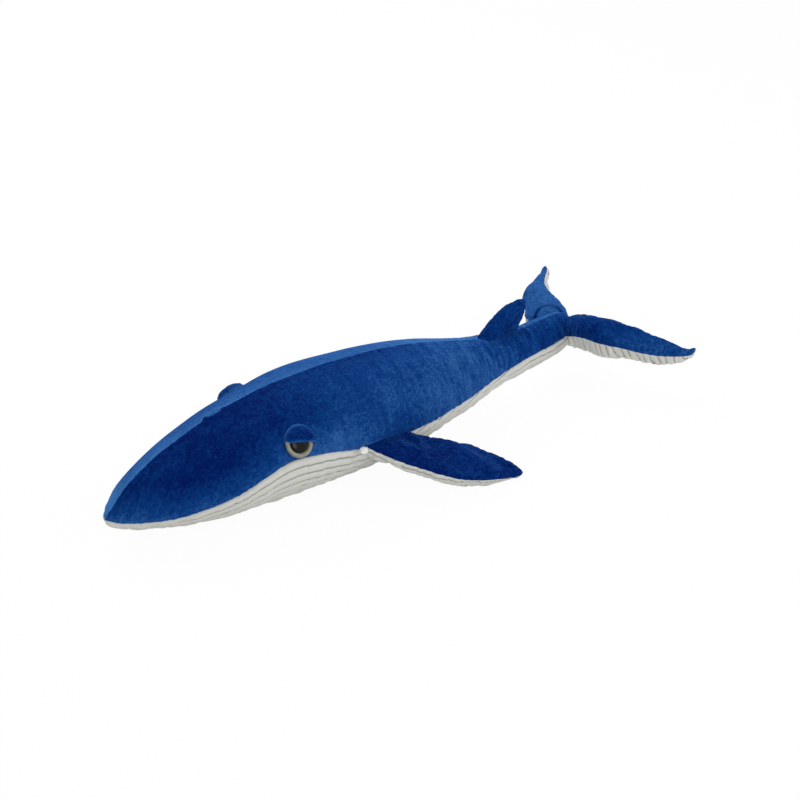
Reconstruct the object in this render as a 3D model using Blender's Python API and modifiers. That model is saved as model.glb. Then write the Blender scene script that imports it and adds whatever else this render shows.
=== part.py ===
"""A large plush whale: sewn cloth panels over stuffing, with limbs that flex at their seams.

Metres, +Z up. The nose points to -X and the whale's left side to -Y. The origin is on the
floor, under the middle of the overall length.
"""

import math

import bmesh
import bpy
import numpy as np
from mathutils import Matrix, Vector

# Driving dimensions of the whole toy
OVERALL_LENGTH = 1.000  # nose to fluke tips
BODY_LENGTH = 0.895 * OVERALL_LENGTH  # nose to the notch between the flukes
BODY_HEIGHT = 0.171
BODY_WIDTH = 0.218
CLOTH = 0.0026  # plush with its pile pressed flat
SEAM_GAP = 0.0003  # between panels, and between cloth and stuffing
FLOOR_CUT = 0.0005  # how deep the floor flattens the belly

# Counts of faces
BACK_COLUMNS = 7  # from the ridge to the belly seam, on each side
BELLY_COLUMNS = 5  # from the belly seam to the middle of the belly, on each side
BODY_ROWS = 24
LIMB_COLUMNS = 12
ARC_STEPS = 14
TURNED_STEPS = 20
LID_STEPS = (20, 10)  # round an eyelid's disc, and from its edge to its crown

# Body sections from nose to tail. Along is a share of the body's length; the top, the bottom,
# the widest place and the belly seam are heights as shares of the body's height; half width
# is a share of half the body's width.
# along, top, bottom, half width, widest place, belly seam
BODY_SHARES = (
    (0.004, 0.350, 0.215, 0.12, 0.285, 0.268),
    (0.017, 0.430, 0.175, 0.24, 0.290, 0.270),
    (0.049, 0.570, 0.125, 0.41, 0.315, 0.275),
    (0.107, 0.725, 0.060, 0.60, 0.350, 0.290),
    (0.185, 0.850, 0.014, 0.79, 0.400, 0.370),
    (0.240, 0.925, 0.000, 0.87, 0.440, 0.480),
    (0.293, 0.972, 0.000, 0.93, 0.465, 0.560),
    (0.349, 0.995, 0.000, 0.97, 0.475, 0.550),
    (0.410, 1.000, 0.000, 1.00, 0.465, 0.485),
    (0.475, 0.993, 0.000, 0.98, 0.445, 0.440),
    (0.558, 0.950, 0.000, 0.87, 0.415, 0.390),
    (0.645, 0.850, 0.030, 0.70, 0.390, 0.365),
    (0.762, 0.690, 0.115, 0.46, 0.385, 0.380),
    (0.860, 0.600, 0.180, 0.31, 0.390, 0.405),
    (0.922, 0.582, 0.205, 0.28, 0.395, 0.435),
    (0.968, 0.590, 0.270, 0.21, 0.430, 0.475),
    (0.990, 0.560, 0.360, 0.08, 0.460, 0.470),
)
NOSE_SHARES = (0.0, 0.280)  # along, height
TAIL_END_SHARES = (0.998, 0.465)
# How peaked the back is at the nose and from mid-body on, and how square the belly is: the
# powers of a superellipse.
RIDGE_POWERS = (1.55, 2.0)
RIDGE_FADES_SHARE = 0.60  # of the body's length, where the ridge seam stops showing
BELLY_POWER = 2.2

# Tail bend, a crosswise axis through the tail stock
TAIL_BEND_SHARE = 0.893  # of the body's length
TAIL_BEND_DEGREES = 18.0
LIP_SLACK_DEGREES = 0.5
KNUCKLE_INSET = 0.0008  # how far the knuckle lies under the cloth's outer face

# What the flippers, the fin and the flukes share
CLOTH_OF_WIDTH_SHARE = 0.14  # the cloth's depth where a piece narrows to a tip
CLOTH_OF_CHORD_SHARE = 0.04
UNDERSIDE_SHARE = 0.66  # of a flipper's or fluke's thickness, under its seam
ROOT_SHARES = ((0.0, 0.28), (0.33, 0.66), (1.0, 0.95))  # out, of the round; thickness
ROOT_SLACK = 0.0013  # lets a root's round edge turn against the body
FLEX_DEPTH_SHARE = 0.25  # where it flexes, from its seam's height to the middle of its thickness
SEAM_EDGE_POWER = 1.15  # how sharply a limb's two cloths meet at their seam

# Flippers, sewn to the belly seam behind the eyes
FLIPPER_ROOT_SHARES = (0.430, 0.556)  # front and rear of the root, of the body's length
FLIPPER_DROP_SHARE = 0.03  # of the body's height, from the belly seam down to the root
FLIPPER_LENGTH = 0.212
FLIPPER_THICKNESS = 0.032
FLIPPER_ROOT_ROUND = 0.0180  # radius of the root's edge, round its flexing line
FLIPPER_DROOP = 15.0  # degrees down from level
# Lead edge out from the root and back along it, trail edge likewise, as shares of the length;
# thickness, of the thickness.
FLIPPER_SHARES = (
    (0.185, 0.145, 0.135, 0.600, 1.00),
    (0.315, 0.230, 0.225, 0.690, 1.00),
    (0.445, 0.315, 0.330, 0.795, 0.92),
    (0.555, 0.430, 0.445, 0.875, 0.80),
    (0.640, 0.590, 0.555, 0.920, 0.62),
    (0.690, 0.760, 0.640, 0.940, 0.42),
)
FLIPPER_TIP_SHARES = (0.700, 0.900)

# Dorsal fin, on the ridge in front of the tail stock
FIN_ROOT_SHARES = (0.770, 0.856)  # front and rear of the root, of the body's length
FIN_HEIGHT = 0.055
FIN_THICKNESS = 0.025
FIN_ROOT_ROUND = 0.0100
# Up from the root, of the height; front and rear edge, of the root's length from its front;
# thickness, of the thickness.
FIN_SHARES = (
    (0.25, 0.17, 1.10, 1.00),
    (0.50, 0.36, 1.18, 0.92),
    (0.75, 0.60, 1.25, 0.76),
    (0.93, 0.86, 1.31, 0.52),
)
FIN_TIP_SHARES = (1.00, 1.24)

# Flukes, each sewn to one side of the tail stock's end
FLUKE_SPAN = 0.194  # from the middle to a tip
FLUKE_THICKNESS = 0.055
FLUKE_ROOT_ROUND = 0.0190
FLUKE_ROOT_SLACK = 0.0019  # more, as the tail stock swells out under the root
FLUKE_HEIGHT = 0.512 * BODY_HEIGHT
# Lead edge back, out and up, trail edge likewise, and thickness. Back is a share of the stretch
# from the lead edge's root to the tips; out of the span; up of the height.
FLUKE_ROOT_SHARES = (0.948, 0.988)  # front and rear of the root, of the body's length
FLUKE_ROOT_UP_SHARES = (0.96, 0.95)  # their heights, of the flukes' height
FLUKE_SHARES = (
    (0.075, 0.340, 1.080, 0.450, 0.180, 1.010, 1.12),
    (0.165, 0.480, 1.100, 0.515, 0.310, 1.010, 1.10),
    (0.300, 0.620, 1.030, 0.575, 0.470, 1.000, 1.00),
    (0.465, 0.750, 0.935, 0.655, 0.630, 0.950, 0.88),
    (0.645, 0.860, 0.850, 0.760, 0.785, 0.880, 0.69),
    (0.825, 0.945, 0.790, 0.885, 0.905, 0.830, 0.45),
)
FLUKE_TIP_SHARES = (1.0, 1.0, 0.815)

# Safety eyes, each a cup with a dark pupil, held by a washer behind the cloth
EYE_ALONG_SHARE = 0.313  # of the body's length
EYE_ABOVE_SEAM = 0.022
EYE_DIAMETER = 0.042
EYE_DOME = 0.0056
EYE_RIM = 0.0030
PUPIL_DIAMETER = 0.0256
EYE_SIDE_SHARE = 0.7  # of the rim, where the cup's side meets its rounded edge
PUPIL_SINK = 0.0025  # depth of the seat that holds the pupil
PUPIL_DOME = 0.0020
SHANK_DIAMETER = 0.0060
SHANK_LENGTH = 0.0150
WASHER_DIAMETER = 0.0220
WASHER_THICKNESS = 0.0018
WASHER_DROP = 0.0020  # how far the cloth curves in behind the washer

# Eyelids, padded half-discs of the back cloth sewn over the eyes
LID_BEYOND_EYE = 0.0035
LID_RISE = 0.0025  # over the eye's dome
LID_EDGE = 0.0006  # of the lower edge above the eye's middle
LID_TILT = 14.0  # degrees, lower at the rear

NAVY = (0.012, 0.055, 0.225)
CREAM_WHITE = (0.70, 0.69, 0.66)
FIBRE_WHITE = (0.86, 0.86, 0.85)
EYE_CREAM = (0.62, 0.58, 0.50)
EYE_DARK = (0.012, 0.009, 0.008)
PLASTIC_WHITE = (0.80, 0.80, 0.78)
SHARP_ANGLE = math.radians(40)
CURVE_POINTS = 181  # in a curve that a place is looked up on
CLOTH_ROUGHNESS = 0.9
PLASTIC_ROUGHNESS = 0.25


def clear_scene():
    for thing in list(bpy.data.objects):
        bpy.data.objects.remove(thing, do_unlink=True)


def new_collection(name):
    collection = bpy.data.collections.new(name)
    bpy.context.scene.collection.children.link(collection)
    return collection


clear_scene()
WHALE = new_collection("plush_whale")
TOOLS = new_collection("cutters")
TOOLS.hide_render = True


def finish(thing, colour, roughness):
    """Gives an object a Principled material of its own."""
    material = bpy.data.materials.new(thing.name)
    material.use_nodes = True
    shader = material.node_tree.nodes["Principled BSDF"]
    shader.inputs["Base Color"].default_value = (*colour, 1.0)
    shader.inputs["Roughness"].default_value = roughness
    shader.inputs["Metallic"].default_value = 0.0
    material.diffuse_color = (*colour, 1.0)
    thing.data.materials.clear()
    thing.data.materials.append(material)


def to_object(name, bm, collection=WHALE):
    """Writes a bmesh to a new, smooth object with its faces pointing out."""
    bmesh.ops.recalc_face_normals(bm, faces=bm.faces)
    if bm.calc_volume(signed=True) < 0:
        bmesh.ops.reverse_faces(bm, faces=bm.faces)
    mesh = bpy.data.meshes.new(name)
    bm.to_mesh(mesh)
    bm.free()
    mesh.shade_smooth()
    mesh.set_sharp_from_angle(angle=SHARP_ANGLE)
    thing = bpy.data.objects.new(name, mesh)
    collection.objects.link(thing)
    return thing


def as_tool(name, bm):
    tool = to_object(name, bm, TOOLS)
    tool.hide_render = True
    tool.display_type = "WIRE"
    return tool


def settle(thing):
    """Turns an object's modifiers into plain mesh."""
    graph = bpy.context.evaluated_depsgraph_get()
    mesh = bpy.data.meshes.new_from_object(thing.evaluated_get(graph))
    thing.modifiers.clear()
    thing.data = mesh
    mesh.name = thing.name
    return thing


def cut(thing, tool, operation="DIFFERENCE"):
    modifier = thing.modifiers.new(tool.name, "BOOLEAN")
    modifier.operation = operation
    modifier.object = tool
    settle(thing)
    bm = bmesh.new()
    bm.from_mesh(thing.data)
    bmesh.ops.remove_doubles(bm, verts=bm.verts, dist=SEAM_GAP / 10)
    bmesh.ops.dissolve_degenerate(bm, edges=bm.edges, dist=SEAM_GAP / 10)
    bm.to_mesh(thing.data)
    bm.free()
    return thing


def copy_of(thing, name, collection=WHALE):
    copy = bpy.data.objects.new(name, thing.data.copy())
    collection.objects.link(copy)
    return copy


def mirrored(thing, name):
    """The same piece, or the same tool, on the whale's right side."""
    bm = bmesh.new()
    bm.from_mesh(thing.data)
    bmesh.ops.scale(bm, vec=(1, -1, 1), verts=bm.verts)
    return as_tool(name, bm) if thing.hide_render else to_object(name, bm)


def smooth_row(rows, place):
    """The values at a place, counted in rows, on smooth curves through the rows."""
    first = min(int(place), len(rows) - 2)
    f = place - first
    a, b, c, d = (
        np.array(rows[min(max(first + step, 0), len(rows) - 1)]) for step in (-1, 0, 1, 2)
    )
    return (
        b
        + (c - a) * f / 2
        + (a - 5 * b / 2 + 2 * c - d / 2) * f**2
        + (3 * (b - c) + d - a) * f**3 / 2
    )


def evenly(points, count):
    """Count + 1 points at even steps along a line of points."""
    steps = np.linalg.norm(np.diff(points, axis=0), axis=1)
    run = np.concatenate([[0], np.cumsum(steps)])
    wanted = np.linspace(0, run[-1], count + 1)
    return np.stack([np.interp(wanted, run, points[:, axis]) for axis in range(3)], axis=1)


def body_x(share):
    return share * BODY_LENGTH - OVERALL_LENGTH / 2


def half_section(place):
    """Points on the left half of a body section, from the ridge to the middle of the belly."""
    along, top, bottom, half, widest, seam = smooth_row(BODY_SHARES, place)
    fade = min(along / RIDGE_FADES_SHARE, 1)
    ridge_power = RIDGE_POWERS[0] + (RIDGE_POWERS[1] - RIDGE_POWERS[0]) * fade
    angles = np.linspace(0, math.pi, CURVE_POINTS)
    upper = angles < math.pi / 2
    power = np.where(upper, 2 / ridge_power, 2 / BELLY_POWER)
    reach = np.where(upper, top - widest, widest - bottom) * BODY_HEIGHT
    across = -half * BODY_WIDTH / 2 * np.abs(np.sin(angles)) ** power
    height = widest * BODY_HEIGHT + reach * np.sign(np.cos(angles)) * np.abs(np.cos(angles)) ** power
    line = np.stack([np.full_like(across, body_x(along)), across, height - FLOOR_CUT], axis=1)
    split = int(np.argmin(np.abs(height - seam * BODY_HEIGHT)))
    back = evenly(line[: split + 1], BACK_COLUMNS)
    belly = evenly(line[split:], BELLY_COLUMNS)
    return np.concatenate([back, belly[1:]])


def place_along(share):
    """The place, counted in rows, where the body is this share of its length from the nose."""
    low, high = 0.0, float(len(BODY_SHARES) - 1)
    for _ in range(40):
        middle = (low + high) / 2
        if smooth_row(BODY_SHARES, middle)[0] < share:
            low = middle
        else:
            high = middle
    return low


SLOPE_STEP = 0.05  # of a row or a column, over which a slope is measured


def on_skin(share, column):
    """A point on the left of the body's skin, and the skin's outward direction there."""

    def point(place, column):
        section = half_section(place)
        return np.array([np.interp(column, range(len(section)), section[:, i]) for i in range(3)])

    place, nudge = place_along(share), SLOPE_STEP
    along = point(place + nudge, column) - point(place - nudge, column)
    down = point(place, column + nudge) - point(place, column - nudge)
    out = np.cross(down, along)
    out *= np.sign(out @ [0, -1, 0]) / np.linalg.norm(out)
    return Vector(point(place, column)), Vector(out)


def loft(rings, ends, sides, depths):
    """A closed skin through rings of points, drawn to a point at each end.

    Its points keep the side of the seam that they are on, their outward direction, and the
    depth of the cloth there.
    """
    count = len(rings[0])
    bm = bmesh.new()
    place = bm.verts.layers.int.new("place")
    side = bm.verts.layers.float.new("side")
    depth = bm.verts.layers.float.new("depth")
    out = bm.verts.layers.float_vector.new("out")
    disc = bmesh.ops.create_circle(bm, cap_ends=True, cap_tris=True, segments=count, radius=1)
    ring = [v for v in disc["verts"] if v.co.length > 0.5]
    centre = next(v for v in disc["verts"] if v.co.length < 0.5)
    for v in ring:
        v[place] = round(math.atan2(v.co.y, v.co.x) / math.tau * count) % count
    edges = [e for e in bm.edges if centre not in e.verts]
    centre.co = ends[0]
    centre[depth] = depths[0]
    for row, points in enumerate(rings):
        if row:
            grown = bmesh.ops.extrude_edge_only(bm, edges=edges)["geom"]
            ring = [g for g in grown if isinstance(g, bmesh.types.BMVert)]
            edges = [
                g
                for g in grown
                if isinstance(g, bmesh.types.BMEdge) and all(v in ring for v in g.verts)
            ]
        for v in ring:
            v.co = points[v[place]]
            v[side] = sides[v[place]]
            v[depth] = depths[row]
    cap = bmesh.ops.contextual_create(bm, geom=edges)["faces"]
    last = bmesh.ops.poke(bm, faces=cap)["verts"][0]
    last.co = ends[1]
    last[side] = 0
    last[depth] = depths[-1]
    bmesh.ops.triangulate(bm, faces=bm.faces)
    bmesh.ops.recalc_face_normals(bm, faces=bm.faces)
    if bm.calc_volume(signed=True) < 0:
        bmesh.ops.reverse_faces(bm, faces=bm.faces)
    bm.normal_update()
    for v in bm.verts:
        v[out] = v.normal
    return bm


def stuffing(name, skin):
    """What fills a skin, inside its cloth."""
    bm = skin.copy()
    out = bm.verts.layers.float_vector["out"]
    depth = bm.verts.layers.float["depth"]
    for v in bm.verts:
        v.co -= v[out] * (v[depth] + SEAM_GAP)
    thing = to_object(name, bm)
    finish(thing, FIBRE_WHITE, CLOTH_ROUGHNESS)
    return thing


def panel(name, skin, wanted, colour):
    """A panel of cloth: the faces of a skin that are wanted, given the cloth's thickness."""
    bm = skin.copy()
    side = bm.verts.layers.float["side"]
    out = bm.verts.layers.float_vector["out"]
    depth = bm.verts.layers.float["depth"]
    unwanted = [f for f in bm.faces if not wanted(f, sum(v[side] for v in f.verts))]
    bmesh.ops.delete(bm, geom=unwanted, context="FACES")
    moves = {}
    for edge in (e for e in bm.edges if e.is_boundary):
        run = (edge.verts[1].co - edge.verts[0].co).normalized()
        middle = (edge.verts[0].co + edge.verts[1].co) / 2
        inward = edge.link_faces[0].calc_center_median() - middle
        inward = (inward - run * inward.dot(run)).normalized()
        for v in edge.verts:
            moves[v] = moves.get(v, Vector()) + inward
    for v, move in moves.items():
        v.co += move.normalized() * SEAM_GAP / 2
    grown = bmesh.ops.extrude_face_region(bm, geom=bm.faces[:], use_keep_orig=True)["geom"]
    for v in (g for g in grown if isinstance(g, bmesh.types.BMVert)):
        v.co -= v[out] * v[depth]
    thing = to_object(name, bm)
    finish(thing, colour, CLOTH_ROUGHNESS)
    return thing


def grown_skin(name, skin, amount):
    """A skin moved outwards, to cut what lies on it."""
    bm = skin.copy()
    out = bm.verts.layers.float_vector["out"]
    for v in bm.verts:
        v.co += v[out] * amount
    return as_tool(name, bm)


def body_skin():
    """The body's outer surface, nose to tail end."""
    places = np.linspace(0, len(BODY_SHARES) - 1, BODY_ROWS)
    rings, depths = [], []
    for place in places:
        half = half_section(place)
        other = half[-2:0:-1] * [1, -1, 1]
        rings.append(np.concatenate([half, other]))
        width = -2 * half[:, 1].min()
        depths.append(min(CLOTH, width * CLOTH_OF_WIDTH_SHARE))
    columns = BACK_COLUMNS + BELLY_COLUMNS
    sides = [1 if i < BACK_COLUMNS else (0 if i == BACK_COLUMNS else -1) for i in range(columns + 1)]
    sides += sides[-2:0:-1]
    ends = [
        (body_x(along), 0, height * BODY_HEIGHT) for along, height in (NOSE_SHARES, TAIL_END_SHARES)
    ]
    return loft(rings, ends, sides, depths)




def side_point(share, height):
    """The point on the left of the body's skin at a share of its length and a height."""
    section = half_section(place_along(share))
    return Vector((section[0][0], np.interp(-height, -section[:, 2], section[:, 1]), height))


def root_rows(front, middle, rear, outward, radius, thickness, slack):
    """The rounded start of a limb, on a line from front to rear that bows out to the middle."""
    bow = outward * (middle - (front + rear) / 2).dot(outward)
    rows = []
    for out_share, thick_share in ROOT_SHARES:
        shift = outward * (SEAM_GAP + slack + out_share * radius)
        row = (front + shift, rear + shift, thick_share * thickness, bow * (1 - out_share))
        rows.append(row)
    return rows


def limb_skin(rows, tip, up, under_share=0.5):
    """A flat limb's outer surface, from its root to its tip.

    Each row is a lead point, a trail point, a thickness and how far the row bows out.
    """
    rings, depths = [], []
    for lead, trail, thickness, bow in rows:
        chord = trail - lead
        rise = up - chord * up.dot(chord) / chord.length_squared
        rise.normalize()
        ring = []
        for step in range(LIMB_COLUMNS):
            angle = math.tau * step / LIMB_COLUMNS
            along = (1 - math.cos(angle)) / 2
            swell = abs(math.sin(angle)) ** SEAM_EDGE_POWER
            swell *= 1 - under_share if math.sin(angle) > 0 else -under_share
            bowed = bow * 4 * along * (1 - along)
            ring.append(lead + chord * along + rise * thickness * swell + bowed)
        rings.append(ring)
        depths.append(
            min(CLOTH, thickness * CLOTH_OF_WIDTH_SHARE, chord.length * CLOTH_OF_CHORD_SHARE)
        )
    half = LIMB_COLUMNS // 2
    sides = [0 if step % half == 0 else (1 if step < half else -1) for step in range(LIMB_COLUMNS)]
    lead, trail, _, bow = rows[0]
    return loft(rings, ((lead + trail) / 2 + bow, tip), sides, depths)


def flexing_line(rows, up, under_share=0.5):
    """The middle and the direction of the line that a limb flexes on."""
    lead, trail, thickness, _ = rows[len(ROOT_SHARES) - 1]
    middle = (lead + trail) / 2 - up * thickness * (under_share - 0.5) * FLEX_DEPTH_SHARE
    return middle, (trail - lead).normalized()


def outline_solid(name, points, depth):
    """A tool with an outline in X and Z, as deep along Y to each side of the middle."""
    bm = bmesh.new()
    corners = [bm.verts.new((x, -depth, z)) for x, z in points]
    face = bm.faces.new(corners)
    grown = bmesh.ops.extrude_face_region(bm, geom=[face], use_keep_orig=True)["geom"]
    moved = [g for g in grown if isinstance(g, bmesh.types.BMVert)]
    bmesh.ops.translate(bm, vec=(0, 2 * depth, 0), verts=moved)
    return as_tool(name, bm)


def knuckle():
    """The tail bend's axis and radius, and the two tools that part the trunk from the tail.

    The trunk ends in a round knuckle as thick as the tail stock, and the tail starts with the
    hollow that fits it, cut back above and below by the angle that it bends.
    """
    section = half_section(place_along(TAIL_BEND_SHARE))
    top, bottom = section[0][2], section[-1][2]
    x, z = section[0][0], (top + bottom) / 2
    radius = (top - bottom) / 2 - KNUCKLE_INSET
    far = OVERALL_LENGTH

    def arc(radius, first, last):
        turns = np.radians(np.linspace(first, last, ARC_STEPS + 1))
        return [(x + radius * math.cos(turn), z + radius * math.sin(turn)) for turn in turns]

    trunk = [(-far, -far), (x, -far), *arc(radius, -90, 90), (x, far), (-far, far)]
    lip = 90 - TAIL_BEND_DEGREES - LIP_SLACK_DEGREES
    lips = [(x + far * math.cos(math.radians(turn)), z + far * math.sin(math.radians(turn)))
            for turn in (lip, -lip)]
    tail = [*arc(radius + SEAM_GAP, -lip, lip), lips[0], (x + far, z + far), (x + far, z - far),
            lips[1]]
    width = BODY_WIDTH
    return (
        Vector((x, 0, z)),
        outline_solid("trunk_side", trunk, width),
        outline_solid("tail_side", tail, width),
    )


def part_at_knuckle(thing, trunk_name, tail_name):
    """Parts a full-length piece of the body at the tail bend."""
    colour = thing.active_material.diffuse_color[:3]
    pieces = []
    for name, tool in ((trunk_name, TRUNK_SIDE), (tail_name, TAIL_SIDE)):
        piece = cut(copy_of(thing, name), tool, "INTERSECT")
        finish(piece, colour, CLOTH_ROUGHNESS)
        pieces.append(piece)
    bpy.data.objects.remove(thing, do_unlink=True)
    return pieces


def turned(name, profile, frame, tool=False):
    """A round piece from a profile of radius and height, run down its outer side."""
    mesh = bpy.data.meshes.new(name)
    points = [(radius, 0, height) for radius, height in profile]
    mesh.from_pydata(points, [(i, i + 1) for i in range(len(points) - 1)], [])
    thing = bpy.data.objects.new(name, mesh)
    (TOOLS if tool else WHALE).objects.link(thing)
    screw = thing.modifiers.new("turned", "SCREW")
    screw.axis = "Z"
    screw.steps = screw.render_steps = TURNED_STEPS
    screw.use_merge_vertices = True
    screw.merge_threshold = SEAM_GAP / 10
    settle(thing)
    thing.data.transform(frame)
    bm = bmesh.new()
    bm.from_mesh(thing.data)
    bmesh.ops.remove_doubles(bm, verts=bm.verts, dist=SEAM_GAP / 10)
    collection = TOOLS if tool else WHALE
    bpy.data.objects.remove(thing, do_unlink=True)
    made = to_object(name, bm, collection)
    if tool:
        made.hide_render = True
        made.display_type = "WIRE"
    return made


# The body: two back panels, a belly panel and the stuffing, parted at the tail bend
BODY_SKIN = body_skin()
TAIL_AXIS, TRUNK_SIDE, TAIL_SIDE = knuckle()
floor_box = bmesh.new()
bmesh.ops.create_cube(floor_box, size=2 * OVERALL_LENGTH)
bmesh.ops.translate(floor_box, vec=(0, 0, -OVERALL_LENGTH), verts=floor_box.verts)
FLOOR = as_tool("floor_box", floor_box)

whole_belly = cut(panel("whole_belly", BODY_SKIN, lambda f, s: s < 0, CREAM_WHITE), FLOOR)
finish(whole_belly, CREAM_WHITE, CLOTH_ROUGHNESS)
whole_stuffing = stuffing("whole_stuffing", BODY_SKIN)

belly, tail_belly = part_at_knuckle(whole_belly, "belly_panel", "tail_belly")
body_filling, tail_filling = part_at_knuckle(whole_stuffing, "body_stuffing", "tail_stuffing")
backs, tail_backs = {}, {}
for hand, across in (("left", -1), ("right", 1)):
    whole_back = panel(
        f"whole_back_{hand}",
        BODY_SKIN,
        lambda f, s: s > 0 and f.calc_center_median().y * across > 0,
        NAVY,
    )
    backs[hand], tail_backs[hand] = part_at_knuckle(
        whole_back, f"back_panel_{hand}", f"tail_back_{hand}"
    )


def eye_frame():
    """The left eye's place: Z out of the cloth, Y up along it, on the skin above the belly seam."""
    section = half_section(place_along(EYE_ALONG_SHARE))
    seam = section[BACK_COLUMNS]
    columns = np.linspace(0, BACK_COLUMNS, CURVE_POINTS)
    heights = np.interp(columns, range(len(section)), np.linalg.norm(section - seam, axis=1))
    column = columns[int(np.argmin(np.abs(heights - EYE_ABOVE_SEAM)))]
    spot, out = on_skin(EYE_ALONG_SHARE, column)
    upward = (Vector((0, 0, 1)) - out * out.z).normalized()
    across = upward.cross(out)
    turn = Matrix((across, upward, out)).transposed().to_4x4()
    return Matrix.Translation(spot) @ turn


EYE_FRAME = eye_frame()
EYE_R, PUPIL_R, SHANK_R, WASHER_R = (
    size / 2 for size in (EYE_DIAMETER, PUPIL_DIAMETER, SHANK_DIAMETER, WASHER_DIAMETER)
)


def eye_height(radius, rise=0.0):
    """Height of the eye's domed face over the cloth, at a radius."""
    return EYE_RIM + EYE_DOME * (1 - min(radius / EYE_R, 1) ** 2) + rise


def dome(outer, inner, rise, steps):
    """A domed line of radius and height from inner to outer."""
    radii = [inner + (outer - inner) * step / steps for step in range(steps + 1)]
    return [(radius, eye_height(radius, rise)) for radius in radii]


seat = eye_height(PUPIL_R) - PUPIL_SINK
cup_profile = [
    (0, seat),
    (PUPIL_R + SEAM_GAP, seat),
    *dome(EYE_R - EYE_RIM * (1 - EYE_SIDE_SHARE), PUPIL_R + SEAM_GAP, 0, 4),
    (EYE_R, EYE_RIM * EYE_SIDE_SHARE),
    (EYE_R, SEAM_GAP),
    (SHANK_R, SEAM_GAP),
    (SHANK_R, -SHANK_LENGTH),
    (0, -SHANK_LENGTH),
]
eye_cup = turned("eye_cup_left", cup_profile, EYE_FRAME)
pupil_profile = [
    (PUPIL_R * share, eye_height(PUPIL_R) + PUPIL_DOME * (1 - share**2))
    for share in (0, 0.35, 0.65, 0.88, 1)
]
pupil_profile += [(PUPIL_R, seat + SEAM_GAP), (0, seat + SEAM_GAP)]
pupil = turned("pupil_left", pupil_profile, EYE_FRAME)
washer_top = -CLOTH - SEAM_GAP - WASHER_DROP
bore = SHANK_R + SEAM_GAP
washer_profile = [
    (bore, washer_top),
    (WASHER_R, washer_top),
    (WASHER_R, washer_top - WASHER_THICKNESS),
    (bore, washer_top - WASHER_THICKNESS),
    (bore, washer_top),
]
washer = turned("eye_washer_left", washer_profile, EYE_FRAME)

# The shank's hole through the back cloth, and the pocket for the washer in the stuffing
above = EYE_R
hole = turned(
    "shank_hole", [(0, above), (bore, above), (bore, -SHANK_LENGTH), (0, -SHANK_LENGTH)],
    EYE_FRAME, tool=True,
)
pocket_r, pocket_end = WASHER_R + SEAM_GAP, -SHANK_LENGTH - SEAM_GAP
pocket = turned(
    "washer_pocket", [(0, above), (pocket_r, above), (pocket_r, pocket_end), (0, pocket_end)],
    EYE_FRAME, tool=True,
)
cut(backs["left"], hole)
cut(backs["right"], mirrored(hole, "shank_hole_right"))
cut(body_filling, pocket)
cut(body_filling, mirrored(pocket, "washer_pocket_right"))


def eyelid():
    """A padded half-disc over the upper part of the left eye, cut to the eye and the body."""
    lid_r = EYE_R + LID_BEYOND_EYE
    bm = bmesh.new()
    bmesh.ops.create_uvsphere(bm, u_segments=LID_STEPS[0], v_segments=LID_STEPS[1], radius=1)
    height = eye_height(0) + LID_RISE
    bmesh.ops.scale(bm, vec=(lid_r, lid_r, height), verts=bm.verts)
    upward = Matrix.Rotation(math.radians(-LID_TILT), 3, "Z") @ Vector((0, 1, 0))
    everything = bm.verts[:] + bm.edges[:] + bm.faces[:]
    bmesh.ops.bisect_plane(
        bm, geom=everything, plane_co=(0, LID_EDGE, 0), plane_no=upward, clear_inner=True
    )
    bmesh.ops.holes_fill(bm, edges=[e for e in bm.edges if e.is_boundary])
    bmesh.ops.transform(bm, matrix=EYE_FRAME, verts=bm.verts)
    lid = to_object("eyelid_left", bm)
    room = EYE_R + SEAM_GAP
    eye_room = turned(
        "eye_room",
        [(0, eye_height(0, SEAM_GAP)), *dome(room, 0, SEAM_GAP, 5)[1:], (room, -above), (0, -above)],
        EYE_FRAME,
        tool=True,
    )
    cut(lid, eye_room)
    cut(lid, grown_skin("body_room", BODY_SKIN, SEAM_GAP))
    finish(lid, NAVY, CLOTH_ROUGHNESS)
    return lid


lid = eyelid()
for thing, colour in (
    (eye_cup, EYE_CREAM),
    (pupil, EYE_DARK),
    (washer, PLASTIC_WHITE),
    (lid, NAVY),
):
    roughness = CLOTH_ROUGHNESS if thing is lid else PLASTIC_ROUGHNESS
    other = mirrored(thing, thing.name.replace("left", "right"))
    for piece in (thing, other):
        finish(piece, colour, roughness)


def limb(name, skin, words, colours):
    """Two panels of cloth and the stuffing of a limb."""
    upper, lower = words
    return [
        panel(f"{name}_{upper}", skin, lambda f, s: s > 0, colours[0]),
        panel(f"{name}_{lower}", skin, lambda f, s: s < 0, colours[1]),
        stuffing(f"{name}_stuffing", skin),
    ]


def pivot_on(name, pieces, spot):
    """Parents a limb's pieces to an empty on its flexing line."""
    pivot = bpy.data.objects.new(name, None)
    WHALE.objects.link(pivot)
    pivot.location = spot
    for piece in pieces:
        piece.data.transform(Matrix.Translation(-spot))
        piece.parent = pivot
    return pivot


def both_sides(name, pieces, spot):
    """Sets a left limb on its pivot, with a copy of it on the right."""
    others = []
    for piece in pieces:
        piece.name = piece.name.replace(name, f"{name}_left")
        other = mirrored(piece, piece.name.replace("left", "right"))
        finish(other, piece.active_material.diffuse_color[:3], CLOTH_ROUGHNESS)
        others.append(other)
    pivot_on(f"{name}_left_pivot", pieces, spot)
    pivot_on(f"{name}_right_pivot", others, Vector((spot.x, -spot.y, spot.z)))


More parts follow.
